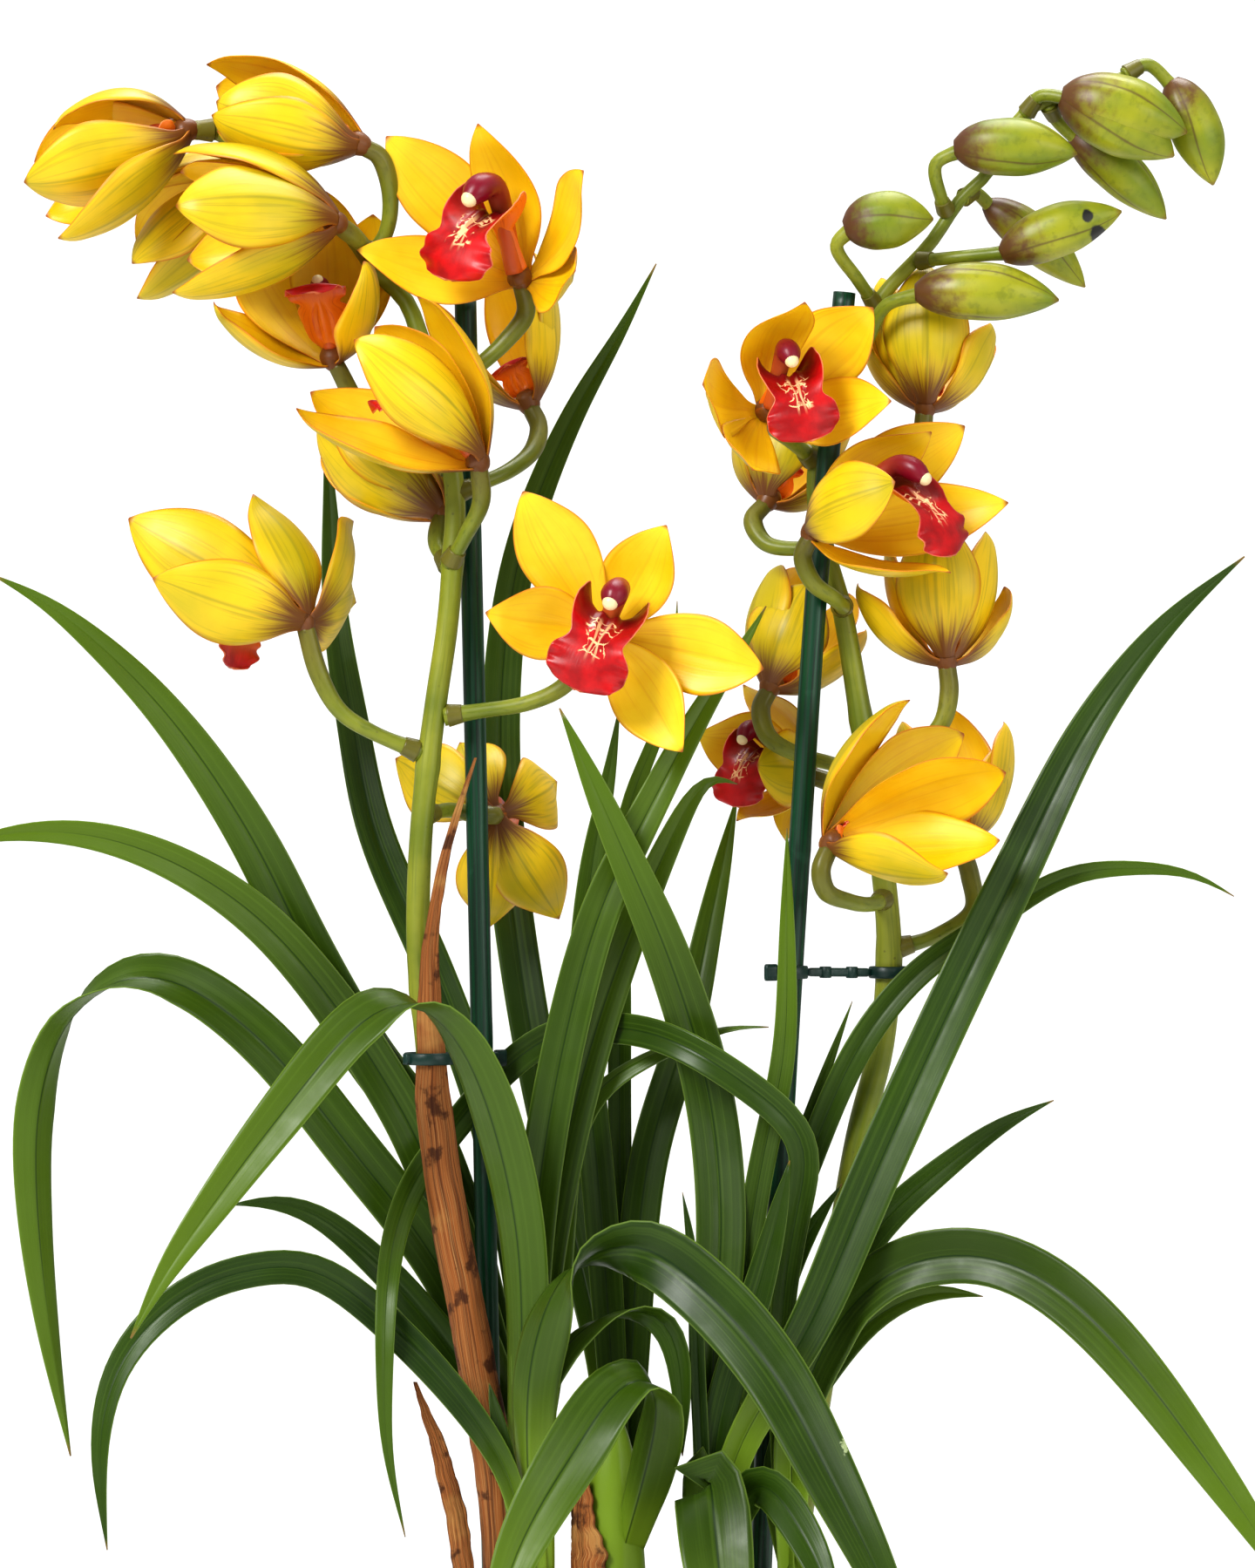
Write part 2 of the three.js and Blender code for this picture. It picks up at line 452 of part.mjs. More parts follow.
    sepals: [[88, 624, 0.5, 58], [62, 650, 0.1, 60]] },
  { name: "r06", heart: [55, 538, 30], facing: [0.4, 0.75, 0.45], up: [-0.2, -0.4, 0.9], lip: 0.6, droop: 0.3,
    stalk: [[92, 500, 16], [80, 507, 15], [66, 511, 17], [54, 518, 22], [51, 529, 27]],
    top: [66, 583, 0.9, 62], petals: [[86, 572, 0.8, 62], [57, 585, 0.5, 60]],
    sepals: [[93, 558, 0.5, 58], [69, 578, 0.05, 56]] },
  { name: "r07", heart: [68, 504, 52], facing: [-0.85, 0.05, -0.45], up: [0, 1, 0], lip: 0.7, droop: 0.8,
    stalk: [[93, 498, 17], [91, 495, 34], [82, 499, 49]],
    top: [44, 536, -0.1, 50], petals: [[28, 518, 0, 52], [49, 507, -0.7, 46]],
    sepals: [[42, 488, -0.3, 46, 5], [59, 479, 0.2, 40, 1]] },
  { name: "r08", heart: [78, 478, -24], facing: [0.9, 0.2, -0.3], up: [-0.35, 0.85, 0], lip: 0.6, droop: 0.1,
    stalk: [[98, 456, 16], [93, 454, 2], [85, 455, -14], [76, 459, -24], [74, 467, -27]],
    top: [107, 534, -0.2, 70, 11], petals: [[145, 506, -0.3, 76], [128, 520, 0.8, 74]],
    sepals: [[143, 477, -0.2, 70, 5], [122, 464, -0.7, 64, 4]] },
  { name: "r09", heart: [127, 478, 32], facing: [-0.1, 0.9, 0.35], up: [0, -0.35, 0.9], lip: 0.6, droop: 0.3,
    stalk: [[102, 437, 21], [118, 442, 22], [132, 452, 26], [131, 465, 30]],
    top: [122, 530, 0.9, 62], petals: [[146, 524, 0.5, 60], [103, 524, 0.5, 60]],
    sepals: [[143, 516, 0.2, 56], [107, 512, 0.2, 56]] },
];

const stalkRadius = 3.6;
const stalkSides = 4;
const stemSides = 6;
const heartReach = 4;
const heartRadius = 5;
const tepalRoot = 3.2;
const tepalRows = [
  { share: 0, half: 0, cup: 0, sides: [0] },
  { share: 0.32, half: 0.46, cup: 0.34, sides: [-1, 0, 1] },
  { share: 0.7, half: 0.42, cup: 0.32, sides: [-1, 0, 1] },
  { share: 1, half: 0, cup: 0, sides: [0] },
];
const tepalBow = 8;

function unit([across, up, depth]) {
  return new THREE.Vector3(across, depth, up).normalize();
}

// Where a bloom's parts stand: its heart, the way it faces, the way to its top sepal, and its stalk's end.
function bloomFrame({ heart, facing, up, stalk }) {
  const middle = place(heart);
  const forward = unit(facing);
  const upward = unit(up).addScaledVector(forward, -unit(up).dot(forward)).normalize();
  const across = upward.clone().cross(forward);
  const arriving = middle.clone().sub(place(stalk[stalk.length - 1])).normalize();
  return { middle, forward, upward, across, arriving };
}

function tepal(frame, [across, up, lean, length, bow = tepalBow], width) {
  const { middle, forward } = frame;
  const flat = place([across, up, middle.y]);
  const span = flat.distanceTo(middle);
  const depth = middle.y + lean * Math.sqrt(Math.max(length * length - span * span, 0));
  const tip = place([across, up, depth]);
  const chord = tip.clone().sub(middle).normalize();
  const inner = forward.clone().addScaledVector(chord, -forward.dot(chord)).normalize();
  const root = middle.clone().addScaledVector(inner, -tepalRoot);
  const bend = root.clone().lerp(tip, 0.45).addScaledVector(inner, -bow * 2);
  const curve = new THREE.QuadraticBezierCurve3(root, bend, tip);
  const over = inner.clone().cross(chord).normalize();
  const rows = tepalRows.map(({ share, half, cup, sides }) => {
    const centre = curve.getPointAt(share);
    const face = curve.getTangentAt(share).cross(over).normalize();
    const points = sides.map((side) => centre.clone()
      .addScaledVector(over, side * half * width)
      .addScaledVector(face, Math.abs(side) * half * cup * width));
    return { points, face };
  });
  return sheet(rows, tepalThickness);
}

function tepals(bloom) {
  const frame = bloomFrame(bloom);
  const { middle, forward, upward, arriving } = frame;
  const back = middle.clone().addScaledVector(arriving, -heartReach);
  const front = middle.clone().addScaledVector(forward, heartReach);
  const heart = [
    ring(back, arriving, upward, heartRadius * 0.7, stalkSides),
    ring(middle, arriving.clone().add(forward).normalize(), upward, heartRadius, stalkSides),
    ring(front, forward, upward, heartRadius, stalkSides),
  ];
  return joined([
    loft(heart),
    tepal(frame, bloom.top, sepalWidth),
    ...bloom.petals.map((tip) => tepal(frame, tip, petalWidth)),
    ...bloom.sepals.map((tip) => tepal(frame, tip, sepalWidth)),
  ]);
}

// The lip's rows from its root to its tip: how far forward, how far down, half width, and raised edges.
const lipRows = [
  { ahead: 0, down: 1, half: 2.6, raise: 0, sides: [-1, 1] },
  { ahead: 14, down: 7, half: 10, raise: 8, sides: [-1, 0, 1] },
  { ahead: 27, down: 13, half: 12, raise: 1, sides: [-1, 0, 1] },
  { ahead: 29, down: 25, half: 5, raise: 0, sides: [-1, 1] },
];

// The column's rings, as how far forward and radius, to the round cap at its end.
const columnRings = [[0, 3.2], [23, 3.8], [27, 1.6]];

function lip(bloom) {
  const { middle, forward, upward, across } = bloomFrame(bloom);
  const { lip: size, droop = 1 } = bloom;
  const start = middle.clone().addScaledVector(forward, heartReach + fitGap);
  const at = (ahead, rise, aside) => start.clone()
    .addScaledVector(forward, ahead * size)
    .addScaledVector(upward, rise * size)
    .addScaledVector(across, aside * size);
  const rows = lipRows.map(({ ahead, down, half, raise, sides }, i) => {
    const after = lipRows[Math.min(i + 1, lipRows.length - 1)];
    const before = lipRows[Math.max(i - 1, 0)];
    const slope = new THREE.Vector2(after.ahead - before.ahead, (before.down - after.down) * droop).normalize();
    const face = upward.clone().multiplyScalar(slope.x).addScaledVector(forward, -slope.y);
    return { points: sides.map((side) => at(ahead, raise * Math.abs(side) - down * droop, half * side)), face };
  });
  const column = loft(columnRings.map(([ahead, radius]) => (
    ring(at(ahead, 1, 0), forward, upward, radius * size, stalkSides))));
  return joined([sheet(rows, tepalThickness), column]);
}

// A stalk that stops just short of the bloom's heart.
function stalkOf(bloom) {
  const { middle, arriving } = bloomFrame(bloom);
  const end = middle.clone().addScaledVector(arriving, -heartReach - fitGap);
  const radii = [stalkRadius, stalkRadius, stalkRadius * 0.88];
  return stem([...bloom.stalk.map(place), end], radii, stalkSides, Math.max(bloom.stalk.length, 3));
}

// A bud: five fused sepals drawn to a point, as a spindle from its base to its tip.
const budOutline = [0.4, 0.95, 1, 0.7, 0.12];
const budStalk = [2.4, 2.6];

function bud({ base, tip, width, stalk }) {
  const body = stem([place(base), place(tip)], budOutline.map((share) => share * width / 2), stemSides, 4);
  const root = place(base).lerp(place(tip), 0.06);
  const leading = stem([...stalk.map(place), root], budStalk, stalkSides, 1 + stalk.length);
  return [body, leading];
}

function spike(side) {
  const { stem: route, radii, steps } = spikes[side];
  const own = blooms.filter(({ name }) => name.startsWith(side[0]));
  const pieces = [stem(route.map(place), radii, stemSides, steps), ...own.map(stalkOf)];
  if (side === "right") pieces.push(...buds.flatMap(bud));
  return joined(pieces);
}

// Stakes: straight on the left, slightly bowed on the right.
const stakes = {
  left: [[-62, 685, 15], [-56, 415, 15], [-50, 125, 15]],
  right: [[83, 688, 0], [73, 583, 1], [66, 478, 3], [60, 380, 6], [54, 270, 8], [48, 125, 9]],
};
const stakeSides = 8;

function stake(side) {
  const route = stakes[side].map(place);
  return solidOf(stem(route, [stakeRadius, stakeRadius], stakeSides, side === "left" ? 1 : 6));
}

// Clips: a ring round the stem, a ring round the stake and a bar between them, all flat and level.
const clipRing = 1.4;
const clipHeight = 5;
const barThickness = 2.2;
const tabSize = [4, 3, 8];
const clips = {
  left: { stem: [-76, 395, 0], stemRadius: 8.2, stake: [-55.6, 395, 15], sides: 12 },
  right: { stem: [99.8, 428, 20], stemRadius: 6.2, stake: [62.8, 428, 5], sides: 12 },
};

function hoop(middle, radius, height, sides) {
  const inner = radius / Math.cos(Math.PI / sides);
  const outer = inner + clipRing;
  const profile = [[inner, 0], [outer, 0], [outer, height], [inner, height], [inner, 0]];
  const geometry = new THREE.LatheGeometry(profile.map(([r, z]) => new THREE.Vector2(r, z - height / 2)), sides);
  return geometry.rotateX(Math.PI / 2).translate(middle.x, middle.y, middle.z);
}

function clip({ stem: stemSpot, stemRadius, stake: stakeSpot, sides }) {
  const stemMiddle = place(stemSpot);
  const stakeMiddle = place(stakeSpot);
  const stakeHole = stakeRadius + fitGap + 0.3;
  const reach = stakeMiddle.clone().sub(stemMiddle);
  const way = reach.clone().setZ(0).normalize();
  const from = stemMiddle.clone().addScaledVector(way, stemRadius + clipRing * 0.7);
  const to = stakeMiddle.clone().addScaledVector(way, -stakeHole - clipRing * 0.7);
  const bar = new THREE.BoxGeometry(from.distanceTo(to), barThickness, clipHeight * 0.7);
  bar.rotateZ(Math.atan2(way.y, way.x));
  const middle = from.lerp(to, 0.5);
  bar.translate(middle.x, middle.y, middle.z);
  const tab = new THREE.BoxGeometry(...tabSize);
  const tabSpot = stakeMiddle.clone().addScaledVector(way, stakeHole + clipRing + 1.2);
  tab.rotateZ(Math.atan2(way.y, way.x)).translate(tabSpot.x, tabSpot.y, tabSpot.z);
  return joined([
    hoop(stemMiddle, stemRadius, clipHeight, sides),
    hoop(stakeMiddle, stakeHole, clipHeight, sides),
    bar,
    tab,
  ]);
}

// Dry sheaths: each row has its middle [across, up, depth], the radius it curls at, and the angles in
// degrees that its left and right edges and middle stand at, seen from above; 270 is the front.
const sheaths = {
  sheath_spike: [
    { at: [-48, 144.9, 2], radius: 7.4, angles: [180, 225, 270, 315, 360] },
    { at: [-48, 213, 0], radius: 7.4, angles: [180, 225, 270, 315, 360] },
    { at: [-58, 280, 0], radius: 7, angles: [180, 225, 270, 315, 360] },
    { at: [-68, 333, 0], radius: 6.8, angles: [180, 225, 270, 315, 360] },
    { at: [-74, 377, 0], radius: 6.8, angles: [190, 230, 270, 310, 350] },
    { at: [-76.2, 400, 0], radius: 6.6, angles: [235, 255, 275, 305, 335] },
    { at: [-76, 440, -2], radius: 6.8, angles: [255, 268, 280, 292, 305] },
    { at: [-69, 475, -3], radius: 6.8, angles: [255, 263, 270, 277, 285] },
    { at: [-58, 510, -3], radius: 6.8, angles: [266, 268, 270, 272, 274] },
  ],
  sheath_low: [
    { at: [-60, 142.9, -6], radius: 7, angles: [240, 270, 300] },
    { at: [-63, 205, -6], radius: 7, angles: [235, 270, 305] },
    { at: [-70, 240, -6], radius: 7, angles: [240, 270, 300] },
    { at: [-81, 272, -5], radius: 7, angles: [264, 270, 276] },
  ],
  sheath_bulb: [
    { at: [-6, 143.2, -14], radius: 15.2, angles: [130, 165, 200, 235, 270] },
    { at: [-6, 180, -14], radius: 15.4, angles: [130, 165, 200, 235, 270] },
    { at: [-6, 205, -14], radius: 15, angles: [140, 165, 200, 235, 262] },
    { at: [-8, 236, -14], radius: 12.6, angles: [170, 185, 200, 215, 235] },
  ],
};

function sheath(rows) {
  return solidOf(sheet(rows.map(({ at, radius, angles }) => {
    const middle = place(at);
    const out = (degrees) => {
      const turn = THREE.MathUtils.degToRad(degrees);
      return new THREE.Vector3(Math.cos(turn), Math.sin(turn), 0);
    };
    const ways = angles.map(out).reverse();
    const points = ways.map((way) => middle.clone().addScaledVector(way, radius));
    return { points, faces: ways };
  }), bladeThickness));
}

// Pot: a tapered wall with a stepped rim, a flat floor and a ring of drain holes.
function pot() {
  const rimFoot = potHeight - potRimHeight;
  const bodyRadius = potRimRadius - potRimStep;
  const profile = [
    [0, 0], [potBaseRadius, 0], [bodyRadius, rimFoot], [potRimRadius, rimFoot], [potRimRadius, potHeight],
    [potRimRadius - potWall, potHeight], [bodyRadius - potWall, rimFoot], [potBaseRadius - potWall, potFloor],
    [0, potFloor],
  ];
  let shell = solidOf(turned(profile, potSides, [0, 0]));
  for (let i = 0; i < drainCount; i++) {
    const turn = i / drainCount * 2 * Math.PI;
    const hole = new THREE.CylinderGeometry(drainRadius, drainRadius, potFloor * 3, 8);
    hole.rotateX(Math.PI / 2).translate(drainRing * Math.cos(turn), drainRing * Math.sin(turn), potFloor / 2);
    shell = shell.subtract(solidOf(hole));
  }
  return shell;
}

// The inside radius of the pot's wall at a height.
function innerRadius(height) {
  const share = (height - potFloor) / (potHeight - potRimHeight - potFloor);
  return THREE.MathUtils.lerp(potBaseRadius - potWall, potRimRadius - potRimStep - potWall, share);
}

// Bark mix: fills the pot to barkTop, with a plain hole for each bulb, stem and stake.
function bark() {
  const foot = potFloor + fitGap;
  const edge = barkTop - barkDome;
  const profile = [
    [0, foot], [innerRadius(foot) - fitGap, foot], [innerRadius(edge) - fitGap, edge],
    [innerRadius(edge) * 0.6, barkTop - 1], [0, barkTop],
  ];
  let mix = solidOf(turned(profile, potSides, [0, 0]));
  for (const { bulb: [x, y, radius, top] } of shoots) {
    const holeRadius = radius + fitGap;
    const holeFoot = barkTop - bulbSink - fitGap;
    const hole = [[0, holeFoot], [holeRadius, holeFoot], [holeRadius, top], [0, top]];
    mix = mix.subtract(solidOf(turned(hole, bulbSides, [x, y])));
  }
  const standing = [
    ...Object.values(stakes).map((route) => ({ foot: route.at(-1), next: route.at(-2), radius: stakeRadius })),
    ...Object.values(spikes).map(({ stem: route, radii }) => ({ foot: route[0], next: route[1], radius: radii[0] })),
  ];
  for (const { foot: spot, next, radius } of standing) {
    const start = place(spot);
    const way = place(next).sub(start).normalize();
    const low = start.clone().addScaledVector(way, -fitGap);
    const high = start.clone().addScaledVector(way, barkTop - start.z + holeRise);
    const holeRadius = radius + 2 * fitGap;
    mix = mix.subtract(solidOf(stem([low, high], [holeRadius, holeRadius], stakeSides, 1)));
  }
  return mix;
}

// The whole plant, one mesh to a piece
const plant = new THREE.Group();

function add(name, solid, tint, roughness) {
  const material = new THREE.MeshStandardMaterial({ color: tint, roughness, metalness: 0, flatShading: true });
  const mesh = new THREE.Mesh(geometryOf(solid), material);
  mesh.name = name;
  plant.add(mesh);
}

add("pot", pot(), colour.pot, 0.45);
add("bark_mix", bark(), colour.bark, 0.95);
for (const side of Object.keys(stakes)) add(`stake_${side}`, stake(side), colour.stake, 0.4);
for (const side of Object.keys(clips)) add(`clip_${side}`, clip(clips[side]), colour.clip, 0.45);
for (const side of Object.keys(spikes)) add(`spike_${side}`, spike(side), colour.stem, 0.5);
for (const { name, bulb: spot, leaves } of shoots) {
  add(name, joined([bulb(spot), ...Object.values(leaves).map(leaf)]), colour.leaf, 0.45);
}
for (const [name, rows] of Object.entries(sheaths)) add(name, sheath(rows), colour.sheath, 0.85);
for (const bloom of blooms) {
  add(`bloom_${bloom.name}_tepals`, tepals(bloom), colour.tepal, 0.45);
  add(`bloom_${bloom.name}_lip`, lip(bloom), colour.lip, 0.4);
}

export default plant;
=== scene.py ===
"""Looks for the potted cymbidium orchid: its leaves, flower spikes, blooms, buds, sheaths, stakes, clips, pot
and bark.

Routes are in millimetres as the front view shows them, [across, up, depth], and place() puts them in the row
frame in metres, so a piece here stands where its solid stands.
"""

import bmesh
import bpy
import numpy as np
from bpy.props import FloatProperty, FloatVectorProperty, IntProperty, PointerProperty
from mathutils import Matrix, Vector


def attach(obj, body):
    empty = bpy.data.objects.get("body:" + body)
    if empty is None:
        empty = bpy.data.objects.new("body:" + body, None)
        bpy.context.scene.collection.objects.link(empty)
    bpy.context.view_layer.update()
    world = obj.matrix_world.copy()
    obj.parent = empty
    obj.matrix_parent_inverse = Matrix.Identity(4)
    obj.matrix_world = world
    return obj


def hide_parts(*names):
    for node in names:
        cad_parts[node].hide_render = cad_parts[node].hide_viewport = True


bl_info = {
    "name": "Potted orchid looks",
    "version": (1, 0, 0),
    "blender": (4, 5, 0),
    "location": "View3D > Sidebar > Orchid",
    "description": "Builds the leaves, blooms, buds, stems, pot and studio of a potted orchid",
    "category": "Object",
}

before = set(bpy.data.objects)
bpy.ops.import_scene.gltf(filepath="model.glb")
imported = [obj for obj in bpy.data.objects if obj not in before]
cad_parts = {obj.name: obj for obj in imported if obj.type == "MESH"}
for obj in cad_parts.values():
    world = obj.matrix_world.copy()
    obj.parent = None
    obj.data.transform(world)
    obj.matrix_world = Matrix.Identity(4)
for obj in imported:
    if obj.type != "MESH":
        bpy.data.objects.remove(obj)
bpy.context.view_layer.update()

VIEW_DISTANCE = 2400
VIEW_HEIGHT = 500
SIGHTED_HEIGHT = 1799 / 3
BARK_TOP = 145

# What a patch's flesh value marks, apart from 0 and 1 for the two faces of a blade
STALK_FLESH = 1.5
BUD_FLESH = 2.0
COLUMN_FLESH = 2.0
CAP_FLESH = 3.0

# Leafy shoots. A bulb is [across, depth, radius, top]. A leaf is (width, route), in millimetres, and a
# fourth number in a route turns the blade about it, in degrees.
SHOOTS = [
    {"name": "shoot_left_back", "bulb": [-38, 42, 14, 205], "leaves": {
        "high": (20, [[-38, 195, 42], [-43, 250, 39], [-77, 367, 39], [-97, 393, 37], [-123, 438, 32],
            [-140, 473, 26], [-157, 501, 20], [-173, 523, 16], [-190, 542, 12], [-223, 570, 6],
            [-243, 580, 2]]),
        "mid": (18, [[-38, 195, 41], [-43, 248, 34], [-80, 363, 33], [-97, 393, 31], [-113, 417, 28],
            [-140, 448, 20], [-173, 470, 10], [-207, 481, 0], [-240, 481, -10], [-260, 475, -16]]),
        "drop": (21, [[-38, 195, 40], [-45, 254, 29], [-73, 317, 27, 10], [-107, 362, 25, 10],
            [-140, 402, 18, 15], [-173, 425, 8, 30], [-190, 427, 2, 55], [-205, 420, -2, 85],
            [-217, 407, -5, 120], [-226, 375, -6, 145], [-226, 335, -4, 150], [-220, 283, 0, 150],
            [-213, 243, 2, 150]]),
        "small": (13, [[-38, 195, 40], [-53, 260, 25], [-80, 300, 22], [-107, 327, 20], [-123, 338, 18],
            [-140, 341, 16], [-152, 339, 14]]),
        "behind": (15, [[-39, 195, 43], [-40, 300, 50], [-53, 370, 56], [-73, 427, 64], [-97, 483, 72],
            [-105, 523, 78], [-112, 567, 82], [-114, 613, 84], [-116, 640, 84]]),
    }},
    {"name": "shoot_left_front", "bulb": [-36, -20, 13, 205], "leaves": {
        "arch": (22, [[-37, 195, -20, 140], [-42, 240, -20, 150], [-40, 280, -21, 150],
            [-42, 330, -24, 145], [-53, 377, -33, 140], [-63, 400, -39, 130], [-74, 414, -43, 110],
            [-86, 418, -46, 75], [-100, 411, -50, 30], [-133, 373, -62, 5], [-163, 333, -72, 0],
            [-177, 313, -76, 0], [-190, 288, -80, 0]]),
        "low": (13, [[-38, 195, -22], [-44, 233, -29], [-52, 248, -28], [-73, 275, -23], [-93, 295, -17],
            [-107, 307, -16], [-123, 316, -18], [-140, 315, -20], [-160, 310, -24], [-180, 297, -28],
            [-196, 275, -32, 20], [-202, 245, -36, 25], [-199, 207, -40, 25]]),
        "dark_a": (16, [[-36, 195, -18], [-38, 280, -13], [-34, 345, -8], [-23, 407, -7], [-10, 453, -9],
            [8, 490, -8], [30, 531, 0], [45, 554, 8], [53, 568, 12]]),
        "dark_b": (16, [[-35, 195, -16], [-35, 290, -6], [-25, 357, 0], [-10, 413, 3], [5, 453, 5],
            [22, 490, 8], [32, 506, 12, 20], [42, 500, 16, 50]]),
        "pale_arch": (11, [[-34, 195, -16], [-28, 290, 0, 150], [-25, 333, 6, 150], [-22, 363, 9, 145],
            [-10, 385, 10, 140], [7, 395, 10, 135], [23, 402, 8, 130], [40, 408, 3, 125],
            [54, 407, 0, 125]]),
        "big_arch": (25, [[-36, 195, -24, 160], [-38, 267, -32, 150], [-34, 290, -37, 140],
            [-25, 311, -44, 110], [-12, 322, -52, 60], [7, 324, -60, 25], [23, 312, -68, 10],
            [38, 298, -75, 5], [58, 272, -86, 0], [75, 240, -98, 0], [95, 200, -112, 0],
            [107, 172, -118, 0], [113, 150, -121, 0]]),
        "hanging": (13, [[-35, 195, -24, 150], [-37, 262, -28, 150], [-27, 280, -30, 140],
            [-13, 295, -32, 110], [5, 301, -32, 60], [15, 297, -31, 30], [20, 280, -29, 10],
            [21, 258, -27, 0], [21, 243, -26, 0]]),
        "spear": (7, [[-40, 200, -22], [-46, 240, -23], [-53, 271, -18]]),
    }},
    {"name": "shoot_middle_back", "bulb": [-2, 34, 14, 205], "leaves": {
        "tall": (16, [[-3, 195, 36], [-10, 280, 46], [-18, 317, 56], [-36, 400, 76], [-47, 480, 88],
            [-48, 540, 89], [-40, 593, 84], [-20, 643, 76], [-3, 672, 70], [11, 699, 64]]),
        "straight": (13, [[-2, 195, 34], [-7, 293, 30], [-12, 357, 27], [-17, 410, 26], [-14, 467, 24],
            [-7, 503, 22], [-3, 530, 18]]),
        "broad": (15, [[0, 195, 35], [2, 293, 33], [8, 357, 37], [23, 407, 45], [31, 445, 58],
            [38, 477, 72], [42, 496, 80]]),
        "slim": (9, [[-1, 195, 36], [-2, 300, 40], [-3, 400, 42], [0, 490, 40], [12, 520, 36],
            [18, 545, 32], [19, 570, 30]]),
    }},
    {"name": "shoot_old", "bulb": [-6, -14, 14, 268], "leaves": {
        "front": (24, [[-2, 205, -20, 170], [3, 222, -34, 165], [10, 248, -47, 150], [13, 266, -55, 120],
            [8, 276, -60, 70], [-5, 268, -69, 30], [-18, 248, -78, 10], [-30, 230, -86, 0],
            [-45, 200, -96, 0], [-53, 165, -102, 0]]),
    }},
    {"name": "shoot_right_front", "bulb": [32, -12, 14, 205], "leaves": {
        "central": (19, [[31, 195, -13], [33, 287, -14], [36, 333, -10], [31, 383, -3], [16, 433, -8],
            [-1, 473, -18], [-13, 500, -23], [-20, 516, -23], [-26, 529, -22]]),
        "upright": (10, [[33, 195, -12], [43, 300, -10], [51, 353, -9], [60, 397, -9], [61, 440, -9],
            [61, 483, -8]]),
        "great": (19, [[34, 195, -12], [40, 240, -18], [70, 293, -22], [93, 347, -20], [120, 407, -15],
            [147, 463, -8], [177, 523, 0], [206, 561, 6], [236, 587, 10]]),
        "light": (13, [[32, 195, -14], [34, 253, -18], [49, 303, -20], [58, 337, -23], [62, 356, -25]]),
        "lap": (28, [[32, 200, -16, 178], [31, 218, -28, 175], [31, 232, -40, 150], [31, 238, -49, 90],
            [32, 234, -57, 30], [33, 220, -65, 5], [35, 200, -76, 0], [38, 172, -88, 0],
            [40, 150, -96, 0]]),
        "small_lap": (15, [[35, 197, -14], [44, 228, -32], [52, 234, -46], [60, 225, -57], [68, 212, -66],
            [75, 198, -74], [80, 175, -83]]),
        "dart": (6, [[31, 200, -16], [27, 270, -22], [25, 320, -24], [21, 344, -25]]),
        "dark_dart": (6, [[35, 200, -10], [42, 300, -2], [46, 335, 0], [48, 349, 0]]),
    }},
    {"name": "shoot_right", "bulb": [63, -8, 13, 205], "leaves": {
        "long_arch": (12, [[61, 195, -8], [58, 262, -3], [60, 307, -3], [65, 338, -9], [69, 360, -17],
            [64, 370, -21], [55, 378, -22], [29, 396, -21], [12, 404, -10], [-9, 407, 12], [-30, 404, 24],
            [-53, 385, 32], [-68, 366, 26], [-80, 351, 13], [-88, 332, -3], [-92, 308, -24],
            [-93, 275, -32], [-92, 245, -32], [-85, 212, -32]]),
        "wide_arch": (21, [[63, 195, -8], [64, 255, -6], [75, 285, -7], [86, 301, -10, -25],
            [101, 314, -15, -20], [120, 320, -21, 0], [140, 319, -28], [160, 310, -36], [180, 293, -46],
            [200, 270, -56], [220, 243, -66], [240, 215, -76], [260, 183, -84]]),
        "short": (11, [[62, 195, -6], [56, 240, 2], [77, 277, 4], [90, 293, 4], [103, 302, 2],
            [120, 307, 0], [136, 304, -2]]),
    }},
    {"name": "shoot_right_back", "bulb": [38, 42, 14, 205], "leaves": {
        "thin": (11, [[39, 195, 42], [43, 262, 36], [53, 317, 27], [63, 340, 20], [72, 363, 13],
            [81, 385, 8], [93, 407, 6], [113, 430, 8], [133, 443, 10], [153, 457, 12], [170, 466, 12],
            [193, 468, 12], [217, 466, 10], [232, 457, 8]]),
        "spear": (7, [[39, 195, 41], [50, 290, 30], [63, 352, 19], [77, 393, 14], [86, 417, 12]]),
        "outer": (13, [[40, 195, 43], [56, 258, 44], [80, 307, 42], [98, 333, 36], [127, 358, 28],
            [145, 371, 22], [163, 379, 18]]),
        "dark": (10, [[39, 195, 40], [49, 268, 35], [58, 303, 27], [66, 322, 19], [74, 336, 13],
            [82, 347, 9]]),
    }},
]

# Flower stems: the stem's route and its radii, spread evenly from foot to tip.
SPIKES = {
    "left": {"stem": [[-48, 118, 2], [-48, 213, 0], [-58, 280, 0], [-68, 333, 0], [-74, 377, 0],
            [-77, 407, 0], [-80, 440, 0], [-79, 480, 0], [-76, 510, 0], [-73, 533, 0], [-69, 560, 0],
            [-67, 583, 0], [-66, 610, 0], [-70, 637, 0], [-80, 673, 2], [-85, 685, 3], [-96, 696, 4],
            [-107, 711, 5], [-127, 732, 6], [-150, 745, 4], [-160, 750, 1]],
        "radii": [5.4, 5.4, 5.2, 5, 4.8, 4.4, 4.2, 3.8, 3, 2.4]},
    "right": {"stem": [[58, 118, 25], [63, 200, 25], [75, 280, 24], [88, 363, 22], [97, 400, 22],
            [100, 433, 20], [99, 455, 18], [93, 500, 16], [88, 533, 16], [82, 567, 16], [75, 593, 16],
            [72, 620, 14], [80, 647, 12], [88, 662, 10], [95, 683, 8], [116, 707, 6], [127, 723, 4],
            [138, 734, 2], [151, 756, 0], [167, 763, 0], [185, 769, 0], [191, 771, 0]],
        "radii": [5.6, 5.6, 5.4, 5.2, 5, 4.6, 4.2, 3.4, 2.8, 2.4, 2]},
}

